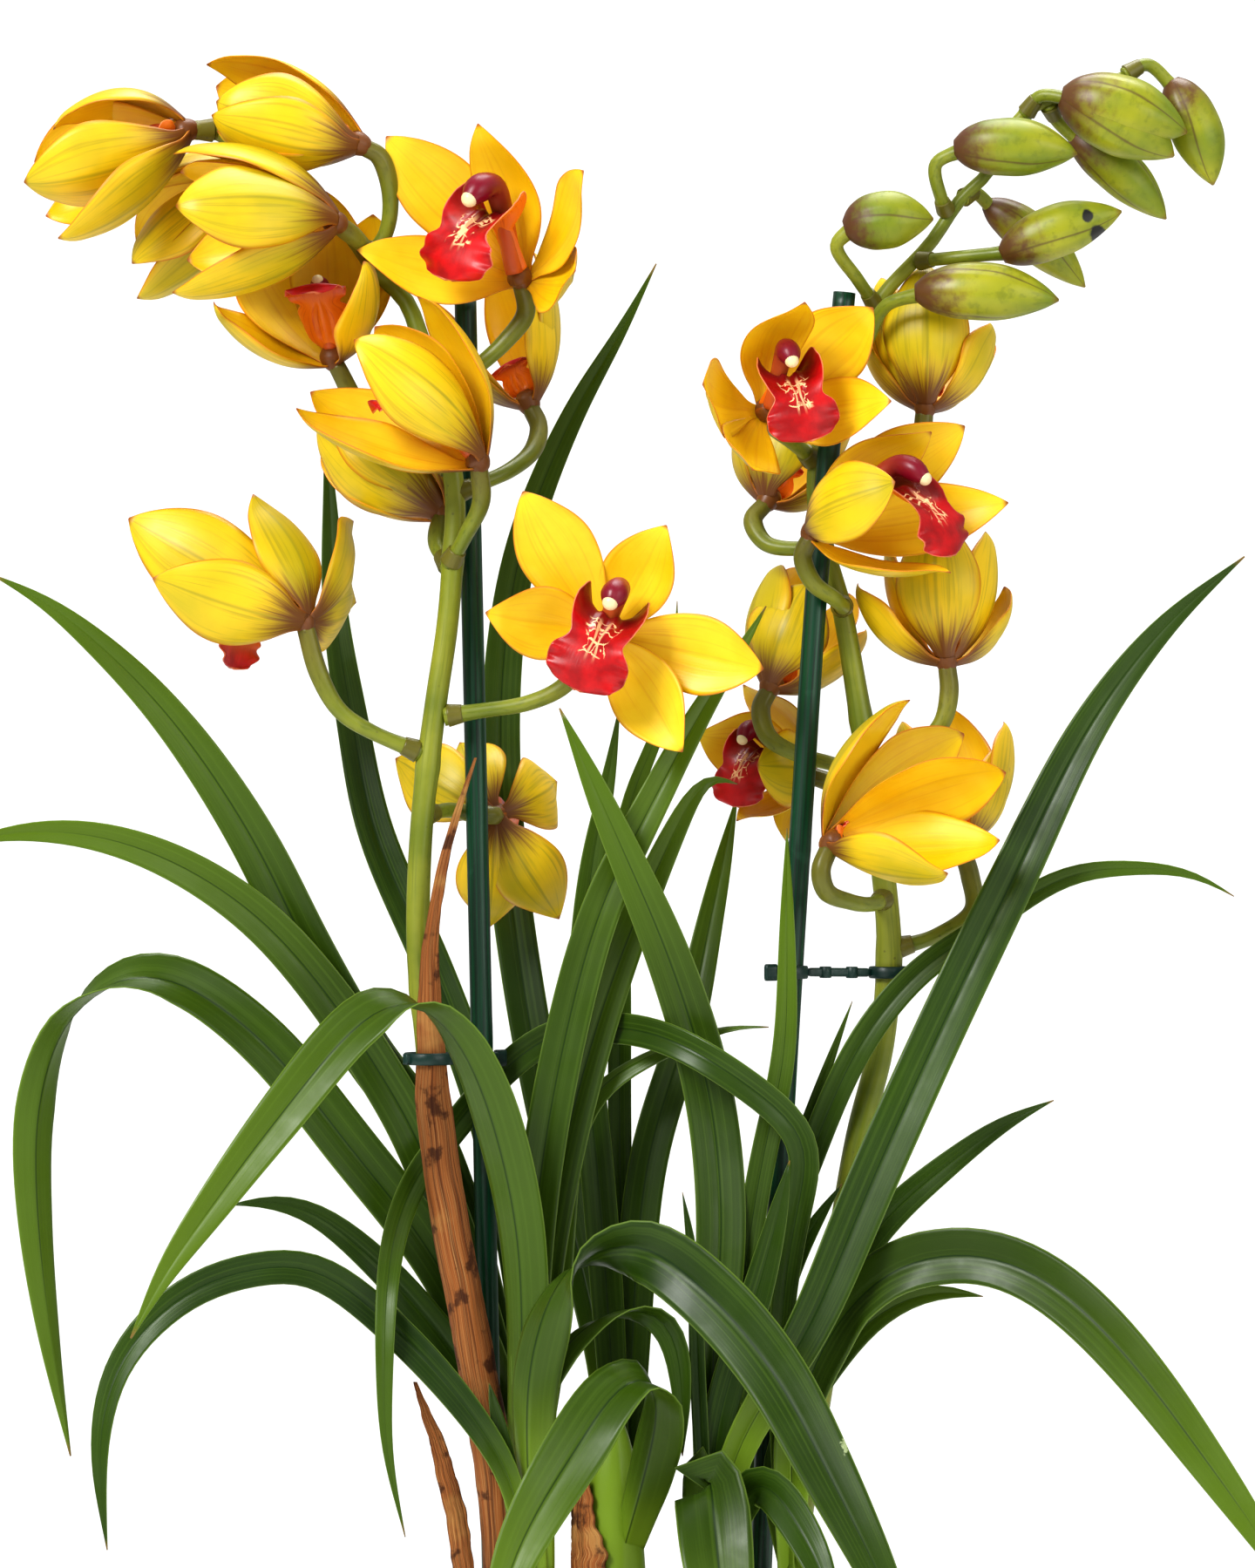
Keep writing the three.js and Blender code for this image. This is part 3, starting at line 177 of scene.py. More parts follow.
# Buds of the right spike. One has a second tip beside its own.
BUDS = [
    {"base": [83, 712, -14], "tip": [117, 716, -16], "width": 22,
        "stalk": [[95, 683, 8], [88, 693, -3], [80, 706, -12]]},
    {"base": [125, 743, -12], "tip": [172, 741, -18], "width": 22,
        "stalk": [[122, 719, 4], [120, 724, -3], [118, 737, -9]]},
    {"base": [166, 763, -8], "tip": [214, 749, -12], "width": 25, "second": [209, 740, -9],
        "stalk": [[152, 756, 0], [158, 763, -4]]},
    {"base": [208, 769, 3], "tip": [224, 729, 3], "width": 20, "stalk": [[190, 771, 0], [199, 775, 2]]},
    {"base": [170, 748, 10], "tip": [206, 716, 14], "width": 18, "stalk": [[161, 760, 0], [164, 754, 6]]},
    {"base": [137, 722, 14], "tip": [175, 690, 18], "width": 17, "stalk": [[128, 724, 4], [133, 726, 9]]},
    {"base": [143, 702, -9], "tip": [189, 719, -14], "width": 20, "stalk": [[111, 700, 6], [122, 701, -3]]},
    {"base": [110, 688, -16], "tip": [165, 685, -22], "width": 22,
        "stalk": [[88, 662, 9], [92, 670, 0], [99, 683, -9]]},
]

# Blooms: where the heart stands and the ways it faces and stands; the size, reach and droop of the lip, and
# where its claw ends (root) and the ways it looks (mouth) and stands (crown) where these are its own; how
# broad the tepals are; and the stalk's route. A tepal is [across, up, lean, length, bow]: its tip as seen,
# how much of the rest of its length goes away from the viewer, and how far its middle bows out.
BLOOMS = [
    {"name": "l01", "heart": [-169, 750, -2], "facing": [-0.95, -0.25, -0.1], "up": [-0.2, 1, 0],
        "lip": 0.6, "droop": 0.3, "stalk": [[-158, 750, 2]], "top": [-221, 752, -0.1, 62, 13],
        "petals": [[-231, 729, -0.8, 68], [-227, 738, 0.8, 64]],
        "sepals": [[-217, 707, -0.9, 69], [-222, 716, 0.9, 68]]},
    {"name": "l02", "heart": [-103, 745, -10], "facing": [-0.95, 0.3, 0], "up": [0.3, 0.95, 0], "lip": 0.6,
        "droop": 0.3, "stalk": [[-99, 700, 4], [-92, 712, 2], [-91, 728, -3], [-95, 740, -7]],
        "top": [-161, 777, 0.3, 70, 11], "petals": [[-158, 761, -0.4, 66], [-157, 767, 0.9, 66]],
        "sepals": [[-160, 755, -0.4, 66, 9], [-158, 748, 0.1, 66]]},
    {"name": "l03", "heart": [-112, 715, -25], "facing": [-1, -0.15, 0], "up": [-0.15, 1, 0], "lip": 0.6,
        "droop": 0.3, "stalk": [[-99, 703, 2], [-103, 708, -14]], "top": [-174, 743, -0.1, 70, 12],
        "petals": [[-173, 722, -0.9, 70, 10], [-171, 736, 0.6, 66]],
        "sepals": [[-174, 686, -0.5, 70], [-168, 700, 0.9, 68]]},
    {"name": "l04", "heart": [-140, 731, 30], "facing": [-0.75, -0.65, 0], "up": [-0.6, 0.75, 0],
        "lip": 0.65, "droop": 0.4, "stalk": [[-126, 731, 6], [-131, 733, 17]],
        "top": [-196, 722, 0.1, 60, 12], "petals": [[-191, 700, -0.3, 66], [-188, 708, 0.9, 66]],
        "sepals": [[-187, 684, -0.2, 69], [-178, 688, 0.8, 68]]},
    {"name": "l05", "heart": [-113, 663, 6], "facing": [-0.15, 0.85, -0.4], "up": [0.1, 0.4, 0.9],
        "lip": 0.85, "reach": 1.6, "droop": 0.5, "stalk": [[-68, 621, 2], [-85, 630, 6], [-101, 642, 8]],
        "top": [-115, 727, 0.5, 68], "petals": [[-148, 708, 0.5, 64], [-96, 718, 0.4, 64]],
        "sepals": [[-160, 683, -0.5, 64], [-99, 700, -0.6, 60]]},
    {"name": "l06", "heart": [-41, 694, -9], "facing": [-0.55, 0.4, -0.7], "up": [0.2, 0.9, 0.35],
        "lip": 1.2, "reach": 0.9, "droop": 0.85, "root": [-4, 27, -4], "mouth": [-0.58, -0.1, -0.8],
        "crown": [0.25, 0.97, 0], "stalk": [[-71, 645, 0], [-60, 657, -1], [-47, 669, -2], [-39, 680, -2]],
        "top": [-58, 751, -0.4, 70], "petals": [[-92, 747, 0, 76], [-19, 734, -0.75, 66]],
        "sepals": [[-102, 705, -0.35, 68], [-22, 697, -0.8, 52]]},
    {"name": "l07", "heart": [-57, 624, -23], "facing": [-0.75, 0.55, -0.25], "up": [0.5, 0.8, 0],
        "lip": 0.9, "reach": 2.2, "droop": 0.35, "stalk": [[-68, 584, -1], [-62, 595, -9], [-56, 608, -17]],
        "top": [-79, 688, -0.1, 70, 11], "petals": [[-104, 671, -0.9, 74, 10], [-96, 676, 0.25, 72]],
        "sepals": [[-128, 642, -0.3, 76], [-122, 649, 0.5, 74]]},
    {"name": "l08", "heart": [-38, 646, 32], "facing": [-0.4, 0.85, 0.2], "up": [0.3, 0, 0.9], "lip": 0.6,
        "droop": 0.3,
        "stalk": [[-66, 611, 1], [-56, 615, 2], [-45, 620, 8], [-36, 628, 20], [-34, 637, 28]],
        "top": [-52, 702, 0.8, 66], "petals": [[-80, 688, 0.5, 64], [-34, 704, 0.6, 64]],
        "sepals": [[-72, 676, 0.25, 62], [-36, 695, 0.1, 62]]},
    {"name": "l09", "heart": [-71, 604, 20], "facing": [-0.75, 0.6, 0.3], "up": [0.4, 0.6, 0.5], "lip": 0.6,
        "droop": 0.3, "stalk": [[-68, 583, 2], [-73, 592, 12]], "top": [-92, 662, 0.6, 66],
        "petals": [[-112, 648, 0.25, 64], [-98, 660, 0.9, 66]],
        "sepals": [[-120, 637, 0.15, 64], [-118, 626, 0.7, 64]]},
    {"name": "l10", "heart": [-124, 563, -6], "facing": [-0.75, 0.4, 0.45], "up": [0.3, 0.95, 0], "lip": 1,
        "broad": 1.18, "stalk": [[-79, 512, 0], [-98, 520, -3], [-110, 528, -5], [-118, 542, -4]],
        "top": [-144, 609, 0.1, 64, 8], "petals": [[-190, 601, -0.1, 78], [-107, 600, 0.8, 60]],
        "sepals": [[-181, 579, -0.6, 70], [-106, 570, 0.7, 60, 5]]},
    {"name": "l11", "heart": [-9, 557, -23], "facing": [-0.2, -0.1, -0.95], "up": [0.45, 0.9, 0],
        "lip": 1.14, "reach": 0.9, "root": [6, 13, -2], "mouth": [-0.15, -0.1, -0.98],
        "crown": [0.35, 0.94, 0],
        "stalk": [[-70, 526, 0], [-56, 528, -1], [-38, 531, -2], [-25, 537, -3], [-14, 550, -7]],
        "top": [14, 598, -0.35, 62, 4], "petals": [[-40, 611, -0.3, 68, 4], [51, 544, -0.4, 68, 4]],
        "sepals": [[-53, 565, -0.35, 62, 4], [20, 513, -0.4, 62, 4]]},
    {"name": "l12", "heart": [-50, 488, 36], "facing": [0, 0.1, 1], "up": [-0.1, 1, 0], "lip": 0.7,
        "stalk": [[-78, 488, 2], [-69, 490, 14], [-61, 489, 24.5], [-52, 488, 26]],
        "top": [-63, 514, 0.7, 50], "petals": [[-87, 509, 0.6, 52], [-29, 500, 0.7, 50]],
        "sepals": [[-53, 447, 0.6, 54], [-27, 450, 0.6, 54]]},
    {"name": "r01", "heart": [53, 643, -22], "facing": [0.4, 0.25, -0.85], "up": [0.2, 0.95, 0.2],
        "lip": 1.0, "reach": 0.9, "root": [5, 17, -4], "mouth": [0.15, -0.1, -0.98],
        "crown": [-0.2, 0.98, 0], "stalk": [[71, 624, 12], [63, 631, -2], [56, 637, -13]],
        "top": [68, 682, -0.75, 62, 12], "petals": [[93, 681, -0.5, 62], [31, 653, -0.8, 56]],
        "sepals": [[99, 647, -0.6, 58], [49, 622, -0.8, 56]]},
    {"name": "r02", "heart": [114, 645, 14], "facing": [0, 0.95, 0.35], "up": [0, -0.3, -0.95], "lip": 0.6,
        "droop": 0.3, "stalk": [[77, 606, 16], [90, 611, 15], [104, 619, 14], [112, 631, 14]],
        "top": [114, 700, -0.15, 62, 13], "petals": [[141, 676, 0.2, 60], [95, 694, 0.35, 64]],
        "sepals": [[89, 682, 0.6, 62], [136, 672, 0.8, 60]]},
    {"name": "r03", "heart": [71, 597, -16], "facing": [0.8, 0.25, -0.5], "up": [-0.15, 0.95, 0.2],
        "lip": 1, "root": [23, 20, -5], "mouth": [0.75, -0.15, -0.6], "crown": [-0.35, 0.94, 0],
        "stalk": [[82, 568, 14], [82, 568, 3], [79, 571, -8], [71, 577, -13], [67, 587, -14]],
        "top": [116, 633, -0.2, 66, 9], "petals": [[129, 636, 0.25, 78], [103, 615, -0.85, 62, 10]],
        "sepals": [[123, 583, -0.6, 70], [145, 608, 0.2, 80]]},
    {"name": "r04", "heart": [122, 548, 8], "facing": [0, 0.95, 0.3], "up": [0, -0.3, -0.95], "lip": 0.6,
        "droop": 0.3, "stalk": [[94, 507, 15], [109, 513, 11], [120, 523, 8], [123, 535, 8]],
        "top": [118, 604, -0.1, 62, 13], "petals": [[139, 597, 0.3, 62], [99, 593, 0.5, 64]],
        "sepals": [[86, 576, 0.3, 62], [146, 575, 0.5, 56]]},
    {"name": "r05", "heart": [54, 609, 32], "facing": [0.35, 0.8, 0.45], "up": [-0.2, -0.4, 0.9],
        "lip": 0.6, "droop": 0.3, "stalk": [[75, 592, 17], [65, 590, 18], [53, 592, 22], [48, 601, 28]],
        "top": [63, 655, 0.9, 62], "petals": [[85, 641, 0.7, 62], [46, 645, 0.6, 60]],
        "sepals": [[88, 624, 0.5, 58], [62, 650, 0.1, 60]]},
    {"name": "r06", "heart": [55, 538, 30], "facing": [0.4, 0.75, 0.45], "up": [-0.2, -0.4, 0.9],
        "lip": 0.6, "droop": 0.3,
        "stalk": [[92, 500, 16], [80, 507, 15], [66, 511, 17], [54, 518, 22], [51, 529, 27]],
        "top": [66, 583, 0.9, 62], "petals": [[86, 572, 0.8, 62], [57, 585, 0.5, 60]],
        "sepals": [[93, 558, 0.5, 58], [69, 578, 0.05, 56]]},
    {"name": "r07", "heart": [68, 504, 52], "facing": [-0.85, 0.05, -0.45], "up": [0, 1, 0], "lip": 0.85,
        "root": [-13, 14, -2], "mouth": [-0.5, -0.1, -0.85], "crown": [0.1, 0.99, 0],
        "stalk": [[93, 498, 17], [91, 495, 34], [82, 499, 49]], "top": [44, 536, -0.1, 50],
        "petals": [[28, 518, 0, 52], [49, 507, -0.7, 46]],
        "sepals": [[42, 488, -0.3, 46, 5], [59, 479, 0.2, 40, 1]]},
    {"name": "r08", "heart": [78, 478, -24], "facing": [0.9, 0.2, -0.3], "up": [-0.35, 0.85, 0],
        "lip": 0.32, "reach": 1, "droop": 0.1, "mouth": [0.1, 0.8, 0.6], "crown": [-0.8, 0.5, 0],
        "stalk": [[98, 456, 16], [93, 454, 2], [85, 455, -14], [76, 459, -24], [74, 467, -27]],
        "top": [107, 534, -0.2, 70, 11], "petals": [[145, 506, -0.3, 76], [128, 520, 0.8, 74]],
        "sepals": [[143, 477, -0.2, 70, 5], [122, 464, -0.7, 64, 4]]},
    {"name": "r09", "heart": [127, 478, 32], "facing": [-0.1, 0.9, 0.35], "up": [0, -0.35, 0.9], "lip": 0.6,
        "droop": 0.3, "stalk": [[102, 437, 21], [118, 442, 22], [132, 452, 26], [131, 465, 30]],
        "top": [122, 530, 0.9, 62], "petals": [[146, 524, 0.5, 60], [103, 524, 0.5, 60]],
        "sepals": [[143, 516, 0.2, 56], [107, 512, 0.2, 56]]},
]

# Stakes, from the top down.
STAKES = {
    "left": [[-62, 685, 15], [-56, 415, 15], [-50, 125, 15]],
    "right": [[83, 688, 0], [73, 583, 1], [66, 478, 3], [60, 380, 6], [54, 270, 8], [48, 125, 9]],
}

# Clips: where each holds its stem and its stake.
CLIPS = {
    "left": {"stem": [-76, 395, 0], "stake": [-55.6, 395, 15], "radius": 8.2},
    "right": {"stem": [99.8, 428, 20], "stake": [62.8, 428, 5], "radius": 6.2},
}

# Dry sheaths: each row is its middle, its radius and the two angles that its arc runs between.
SHEATHS = {
    "sheath_spike": [([-48, 144.9, 2], 7.4, 180, 360), ([-48, 213, 0], 7.4, 180, 360),
        ([-58, 280, 0], 7, 180, 360), ([-68, 333, 0], 6.8, 180, 360), ([-74, 377, 0], 6.8, 190, 350),
        ([-76.2, 400, 0], 6.6, 235, 335), ([-76, 440, -2], 6.8, 255, 305), ([-69, 475, -3], 6.8, 255, 285),
        ([-58, 510, -3], 6.8, 266, 274)],
    "sheath_low": [([-60, 142.9, -6], 7, 240, 300), ([-63, 205, -6], 7, 235, 305),
        ([-70, 240, -6], 7, 240, 300), ([-81, 272, -5], 7, 264, 276)],
    "sheath_bulb": [([-6, 143.2, -14], 15.2, 130, 270), ([-6, 180, -14], 15.4, 130, 270),
        ([-6, 205, -14], 15, 140, 262), ([-8, 236, -14], 12.6, 170, 235)],
}


# Where things stand

def place(spots):
    """Sighted points to metres: a point at depth d spreads from the view axis by (2400 + d) / 2400."""
    spots = np.atleast_2d(np.array([list(s)[:3] for s in spots], float))
    spread = (VIEW_DISTANCE + spots[:, 2]) / VIEW_DISTANCE
    return np.stack([spots[:, 0] * spread, spots[:, 2],
                     VIEW_HEIGHT + (spots[:, 1] - VIEW_HEIGHT) * spread], axis=1) / 1000


def axes(direction):
    """A vector in the row frame from [across, up, depth]."""
    return np.array([direction[0], direction[2], direction[1]], float)


def toward(direction):
    """A unit vector from [across, up, depth]."""
    v = axes(direction)
    return v / np.linalg.norm(v)


def unit(v):
    """The vectors at length 1, and a vector of no length as it is."""
    return v / np.maximum(np.linalg.norm(v, axis=-1, keepdims=True), 1e-12)


def measured(line):
    """How far each point of a line is along it: the running sum of the lengths of its steps."""
    return np.concatenate([[0], np.cumsum(np.linalg.norm(np.diff(line, axis=0), axis=1))])


def ring_angles(sides):
    """Even angles round a ring, the last one a step short of the first."""
    return np.linspace(0, 2 * np.pi, sides, endpoint=False)


def through(points, rows, values=None):
    """Even rows along a smooth curve through the points: a centripetal Catmull-Rom curve, measured along its
    length. Values given for the points come back for the rows, drawn straight between points."""
    p = np.asarray(points, float)
    first, last = 2 * p[0] - p[1], 2 * p[-1] - p[-2]
    p = np.vstack([first, p, last])
    steps = np.sqrt(np.linalg.norm(np.diff(p, axis=0), axis=1))
    knots = np.concatenate([[0], np.cumsum(np.maximum(steps, 1e-6))])
    t = np.linspace(0, len(p) - 3, (len(p) - 3) * 24 + 1)
    k = np.minimum(t.astype(int), len(p) - 4)
    k0, k1, k2, k3 = (knots[k + i] for i in range(4))
    s = k1 + (t - k) * (k2 - k1)

    def blend(a, b, ka, kb):
        w = ((s - ka) / (kb - ka))[:, None]
        return a * (1 - w) + b * w
    q = [p[k + i] for i in range(4)]
    a1, a2, a3 = (blend(q[i], q[i + 1], knots[k + i], knots[k + i + 1]) for i in range(3))
    line = blend(blend(a1, a2, k0, k2), blend(a2, a3, k1, k3), k1, k2)
    run = measured(line)
    want = np.linspace(0, run[-1], rows)
    out = np.stack([np.interp(want, run, line[:, i]) for i in range(3)], axis=1)
    if values is None:
        return out
    return out, np.interp(np.interp(want, run, t), np.arange(len(points)), values)


def tangents(line):
    """The way that a line runs at each of its points."""
    return unit(np.gradient(line, axis=0))


def smooth(shares, table, at):
    """A smooth outline through a table of values: a cubic through its points, whose slopes come from their
    neighbours."""
    x, y = np.array(shares, float), np.array(table, float)
    m = np.gradient(y, x)
    k = np.clip(np.searchsorted(x, at, side="right") - 1, 0, len(x) - 2)
    h = x[k + 1] - x[k]
    t = (at - x[k]) / h
    return ((2 * t**3 - 3 * t**2 + 1) * y[k] + (t**3 - 2 * t**2 + t) * h * m[k]
            + (-2 * t**3 + 3 * t**2) * y[k + 1] + (t**3 - t**2) * h * m[k + 1])


# Meshes

class Patch:
    """Points, faces and values of one surface, in metres. UV is (across, along). Flesh is 0 on the face that
    looks in or up and 1 on the other, or marks a kind of part. Seed is a number of its own for each blade."""

    def __init__(self, points, faces, uv, flesh, seed):
        self.points, self.faces, self.uv = points, faces, uv
        self.flesh = np.broadcast_to(np.asarray(flesh, float), len(points))
        self.seed = np.full(len(points), float(seed))

    def marked(self, flesh):
        """The patch with one flesh value all over."""
        self.flesh = np.full(len(self.points), flesh)
        return self


def grid_faces(rows, cols, around=False, flip=False):
    """Quads between the rows and columns of a grid. The last column meets the first where it goes around."""
    r, c = np.meshgrid(np.arange(rows - 1), np.arange(cols if around else cols - 1), indexing="ij")
    n = (c + 1) % cols
    low, high = r * cols, (r + 1) * cols
    quads = np.stack([low + c, low + n, high + n, high + c], axis=-1).reshape(-1, 4)
    return quads[:, ::-1] if flip else quads


def blade(middle, thickness, seed, uv=None):
    """A thin solid leaf around a grid of middle points [rows, cols, 3]: each face stands off along the grid's
    normal by half the thickness, and a rim of quads joins the two faces all the way round."""
    rows, cols = middle.shape[:2]
    along = np.gradient(middle, axis=0)
    across = np.gradient(middle, axis=1)
    normal = np.cross(across, along)
    size = np.linalg.norm(normal, axis=-1, keepdims=True)
    normal = np.where(size > 1e-12, normal / np.maximum(size, 1e-12), 0)
    lack = size[..., 0] < 1e-12
    if lack.any():
        normal[lack] = normal[~lack].mean(axis=0)
    half = np.broadcast_to(np.asarray(thickness, float) / 2, (rows, cols))[..., None]
    top, under = middle + normal * half, middle - normal * half
    count = rows * cols
    points = np.concatenate([top.reshape(-1, 3), under.reshape(-1, 3)])
    faces = [grid_faces(rows, cols), grid_faces(rows, cols, flip=True) + count]
    index = np.arange(count).reshape(rows, cols)
    edge = np.concatenate([index[0, :-1], index[:-1, -1], index[-1, :0:-1], index[:0:-1, 0]])
    ahead = np.roll(edge, -1)
    faces.append(np.stack([edge, edge + count, ahead + count, ahead], axis=1))
    if uv is None:
        u, v = np.meshgrid(np.linspace(0, 1, cols), np.linspace(0, 1, rows))
        uv = np.stack([u, v], axis=-1)
    uv = np.concatenate([uv.reshape(-1, 2)] * 2)
    return Patch(points, np.concatenate(faces), uv, np.repeat([0.0, 1.0], count), seed)


def tube(line, radii, sides, seed=0.0, profile=None, mark=(0.13, 0.97, 0.21)):
    """A closed tube: rings of the given radii around a line, each turned from the last so that it never
    twists, with its ends drawn in to a point. The first ring starts across the line and the mark. The profile
    [rows, sides] scales each ring's radius."""
    line = np.asarray(line, float)
    rows = len(line)
    way = tangents(line)
    side = np.cross(way[0], mark)
    frames = []
    for d in way:
        side = unit(side - d * np.dot(side, d))
        frames.append(side)
    side = np.array(frames)
    other = np.cross(way, side)
    turn = ring_angles(sides)
    reach = np.broadcast_to(np.asarray(radii, float)[:, None], (rows, sides)).copy()
    if profile is not None:
        reach *= profile
    ring = (line[:, None] + reach[..., None] * (side[:, None] * np.cos(turn)[:, None]
            + other[:, None] * np.sin(turn)[:, None]))
    points = np.concatenate([ring.reshape(-1, 3), line[[0, -1]]])
    last = (rows - 1) * sides
    j = np.arange(sides)
    k = (j + 1) % sides
    low = np.stack([k, j, np.full(sides, rows * sides)], axis=1)
    high = np.stack([last + j, last + k, np.full(sides, rows * sides + 1)], axis=1)
    quads = grid_faces(rows, sides, around=True)
    u, v = np.meshgrid(np.arange(sides) / sides, np.linspace(0, 1, rows))
    uv = np.concatenate([np.stack([u, v], axis=-1).reshape(-1, 2), [[0.5, 0], [0.5, 1]]])
    return Patch(points, [quads, low, high], uv, 1.0, seed)


def turned(profile, sides, middle=(0, 0), seed=0.0, wobble=None):
    """A lathe form: the profile's [radius, height] pairs carried round an upright axis, in millimetres."""
    profile = np.array(profile, float) / 1000
    turn = ring_angles(sides)
    radius = profile[:, :1] * (np.ones((1, sides)) if wobble is None else wobble)
    points = np.stack([radius * np.cos(turn) + middle[0] / 1000, radius * np.sin(turn) + middle[1] / 1000,
                       np.broadcast_to(profile[:, 1:], radius.shape)], axis=-1)
    u, v = np.meshgrid(np.arange(sides) / sides, np.linspace(0, 1, len(profile)))
    return Patch(points.reshape(-1, 3), grid_faces(len(profile), sides, around=True),
                 np.stack([u, v], axis=-1).reshape(-1, 2), 1.0, seed)


def piece(name, patches, material, nodes):
    """One object from patches: their points and faces are laid end to end, doubles at poles are merged, and
    the UV map and the flesh and seed values go with them. It rides on the root and stands for its nodes."""
    points, faces, uv, flesh, seed, base = [], [], [], [], [], 0
    for patch in patches:
        for block in (patch.faces if isinstance(patch.faces, list) else [patch.faces]):
            faces.extend((block + base).tolist())
        points.append(patch.points)
        uv.append(patch.uv)
        flesh.append(patch.flesh)
        seed.append(patch.seed)
        base += len(patch.points)
    mesh = bpy.data.meshes.new(name)
    mesh.from_pydata(np.concatenate(points), [], faces)
    corner = np.zeros(len(mesh.loops), np.int32)
    mesh.loops.foreach_get("vertex_index", corner)
    layer = mesh.uv_layers.new(name="UVMap")
    layer.data.foreach_set("uv", np.concatenate(uv)[corner].astype(np.float32).ravel())
    for label, values in (("flesh", flesh), ("seed", seed)):
        mesh.attributes.new(label, "FLOAT", "POINT").data.foreach_set(
            "value", np.concatenate(values).astype(np.float32))
    mesh.polygons.foreach_set("use_smooth", np.ones(len(mesh.polygons), bool))
    form = bmesh.new()
    form.from_mesh(mesh)
    bmesh.ops.remove_doubles(form, verts=form.verts, dist=1e-7)
    form.to_mesh(mesh)
    form.free()
    obj = bpy.data.objects.new(name, mesh)
    bpy.context.scene.collection.objects.link(obj)
    mesh.materials.append(material)
    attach(obj, "root")
    if nodes:
        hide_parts(*nodes)
    return obj


# Leaves

# Half width and fold of a leaf at each tenth of its length, from base to tip
LEAF_OUTLINE = [0.5, 0.62, 0.8, 0.95, 1, 1, 0.98, 0.9, 0.74, 0.48, 0.03]
LEAF_FOLD = [1.1, 0.9, 0.5, 0.34, 0.28, 0.25, 0.25, 0.25, 0.25, 0.25, 0.25]
LEAF_ROW = 0.0055
LEAF_WAVE = 0.05
BULB_SUNK = 12
BULB_SIDES = 40


def leaf(width, route, thickness, seed):
    """A strap leaf. At share t of its route it is half(t) wide on each side. Across it, s runs from -1 to 1,
    and the leaf rises toward its upper face by fold(t) of its half width times |s|, rounded at the midrib,
    which is sunk. Its edges wave slightly. The blade turns about its route by the route's fourth number."""
    spots = place(route)
    rows, cols = int(np.clip(measured(spots)[-1] / LEAF_ROW, 24, 110)), 13
    line, roll = through(spots, rows, [spot[3] if len(spot) > 3 else 0 for spot in route])
    for _ in range(6):
        line[1:-1] = (line[:-2] + 2 * line[1:-1] + line[2:]) / 4
    share = np.linspace(0, 1, rows)
    tenths = np.linspace(0, 1, 11)
    half = width / 2000 * smooth(tenths, LEAF_OUTLINE, share)
    lift = half * np.interp(share, tenths, LEAF_FOLD)
    way = tangents(line)
    sight = unit(line - np.array([0, -VIEW_DISTANCE, VIEW_HEIGHT]) / 1000)
    over = unit(np.cross(way, sight))
    turn = np.radians(roll)[:, None]
    over = over * np.cos(turn) + np.cross(way, over) * np.sin(turn)
    up = np.cross(way, over)
    s = np.linspace(1, -1, cols)
    rise = np.sqrt(s**2 + 0.01) - 0.1
    sunk = 0.05 * np.exp(-(s / 0.1)**2)
    ripple = LEAF_WAVE * s**2 * np.sin(share[:, None] * 19 + seed * 5 + 1.4 * np.sign(s))
    height = lift[:, None] * rise + half[:, None] * (ripple - sunk)
    middle = line[:, None] + over[:, None] * (half[:, None] * s)[..., None] + up[:, None] * height[..., None]
    thin = np.interp(share, [0, 0.9, 1], [1, 1, 0.5])[:, None]
    return blade(middle, thickness / 1000 * (0.45 + 0.55 * (1 - np.abs(s)**3))[None] * thin, seed)


def bulb(x, y, radius, top, seed):
    """A pseudobulb: a pointed oval turned about an upright axis, its radius times 1 less a small share of a
    wave around it, which leaves ribs. Its colour is that of a leaf's base, so its map stays near 0."""
    foot = BARK_TOP - BULB_SUNK
    share = np.linspace(0, 1, 26)
    outline = smooth([0, 0.12, 0.35, 0.62, 0.88, 1], [0.82, 0.95, 0.99, 0.85, 0.48, 0.02], share)
    profile = np.stack([np.maximum(outline, 0) * radius, foot + share * (top - foot)], axis=1)
    profile = np.vstack([[0, foot], profile])
    rib = 1 - 0.035 * (1 - np.abs(np.sin(ring_angles(BULB_SIDES) * 3.5))**0.5)
    patch = turned(profile, BULB_SIDES, (x, y), seed, rib[None])
    patch.uv[:, 1] *= 0.13
    return patch


# Flower stems, stalks and buds

def stalk_frame(bloom):
    """A bloom's heart, the ways it faces, stands and spans, and the way its stalk arrives."""
    middle = place([bloom["heart"]])[0]
    ahead = toward(bloom["facing"])
    up = toward(bloom["up"])
    up = unit(up - ahead * up.dot(ahead))
    arriving = unit(middle - place([bloom["stalk"][-1]])[0])
    return middle, ahead, up, np.cross(up, ahead), arriving


def stem(route, radii):
    """A flower stem: a tube along its route that thins to the tip. At each node a wide and a narrow bell
    curve are added to its radius, for the swelling and for the scar of a bract."""
    line = through(place(route), 120)
    share = np.linspace(0, 1, len(line))
    reach = np.interp(share, np.linspace(0, 1, len(radii)), radii) / 1000
    nodes = np.array([0.27, 0.45, 0.58, 0.7])
    near = np.abs(share[:, None] - nodes).min(axis=1)
    reach = reach * (1 + 0.1 * np.exp(-(near / 0.006)**2) + 0.04 * np.exp(-(near / 0.02)**2))
    return tube(line, reach, 18)


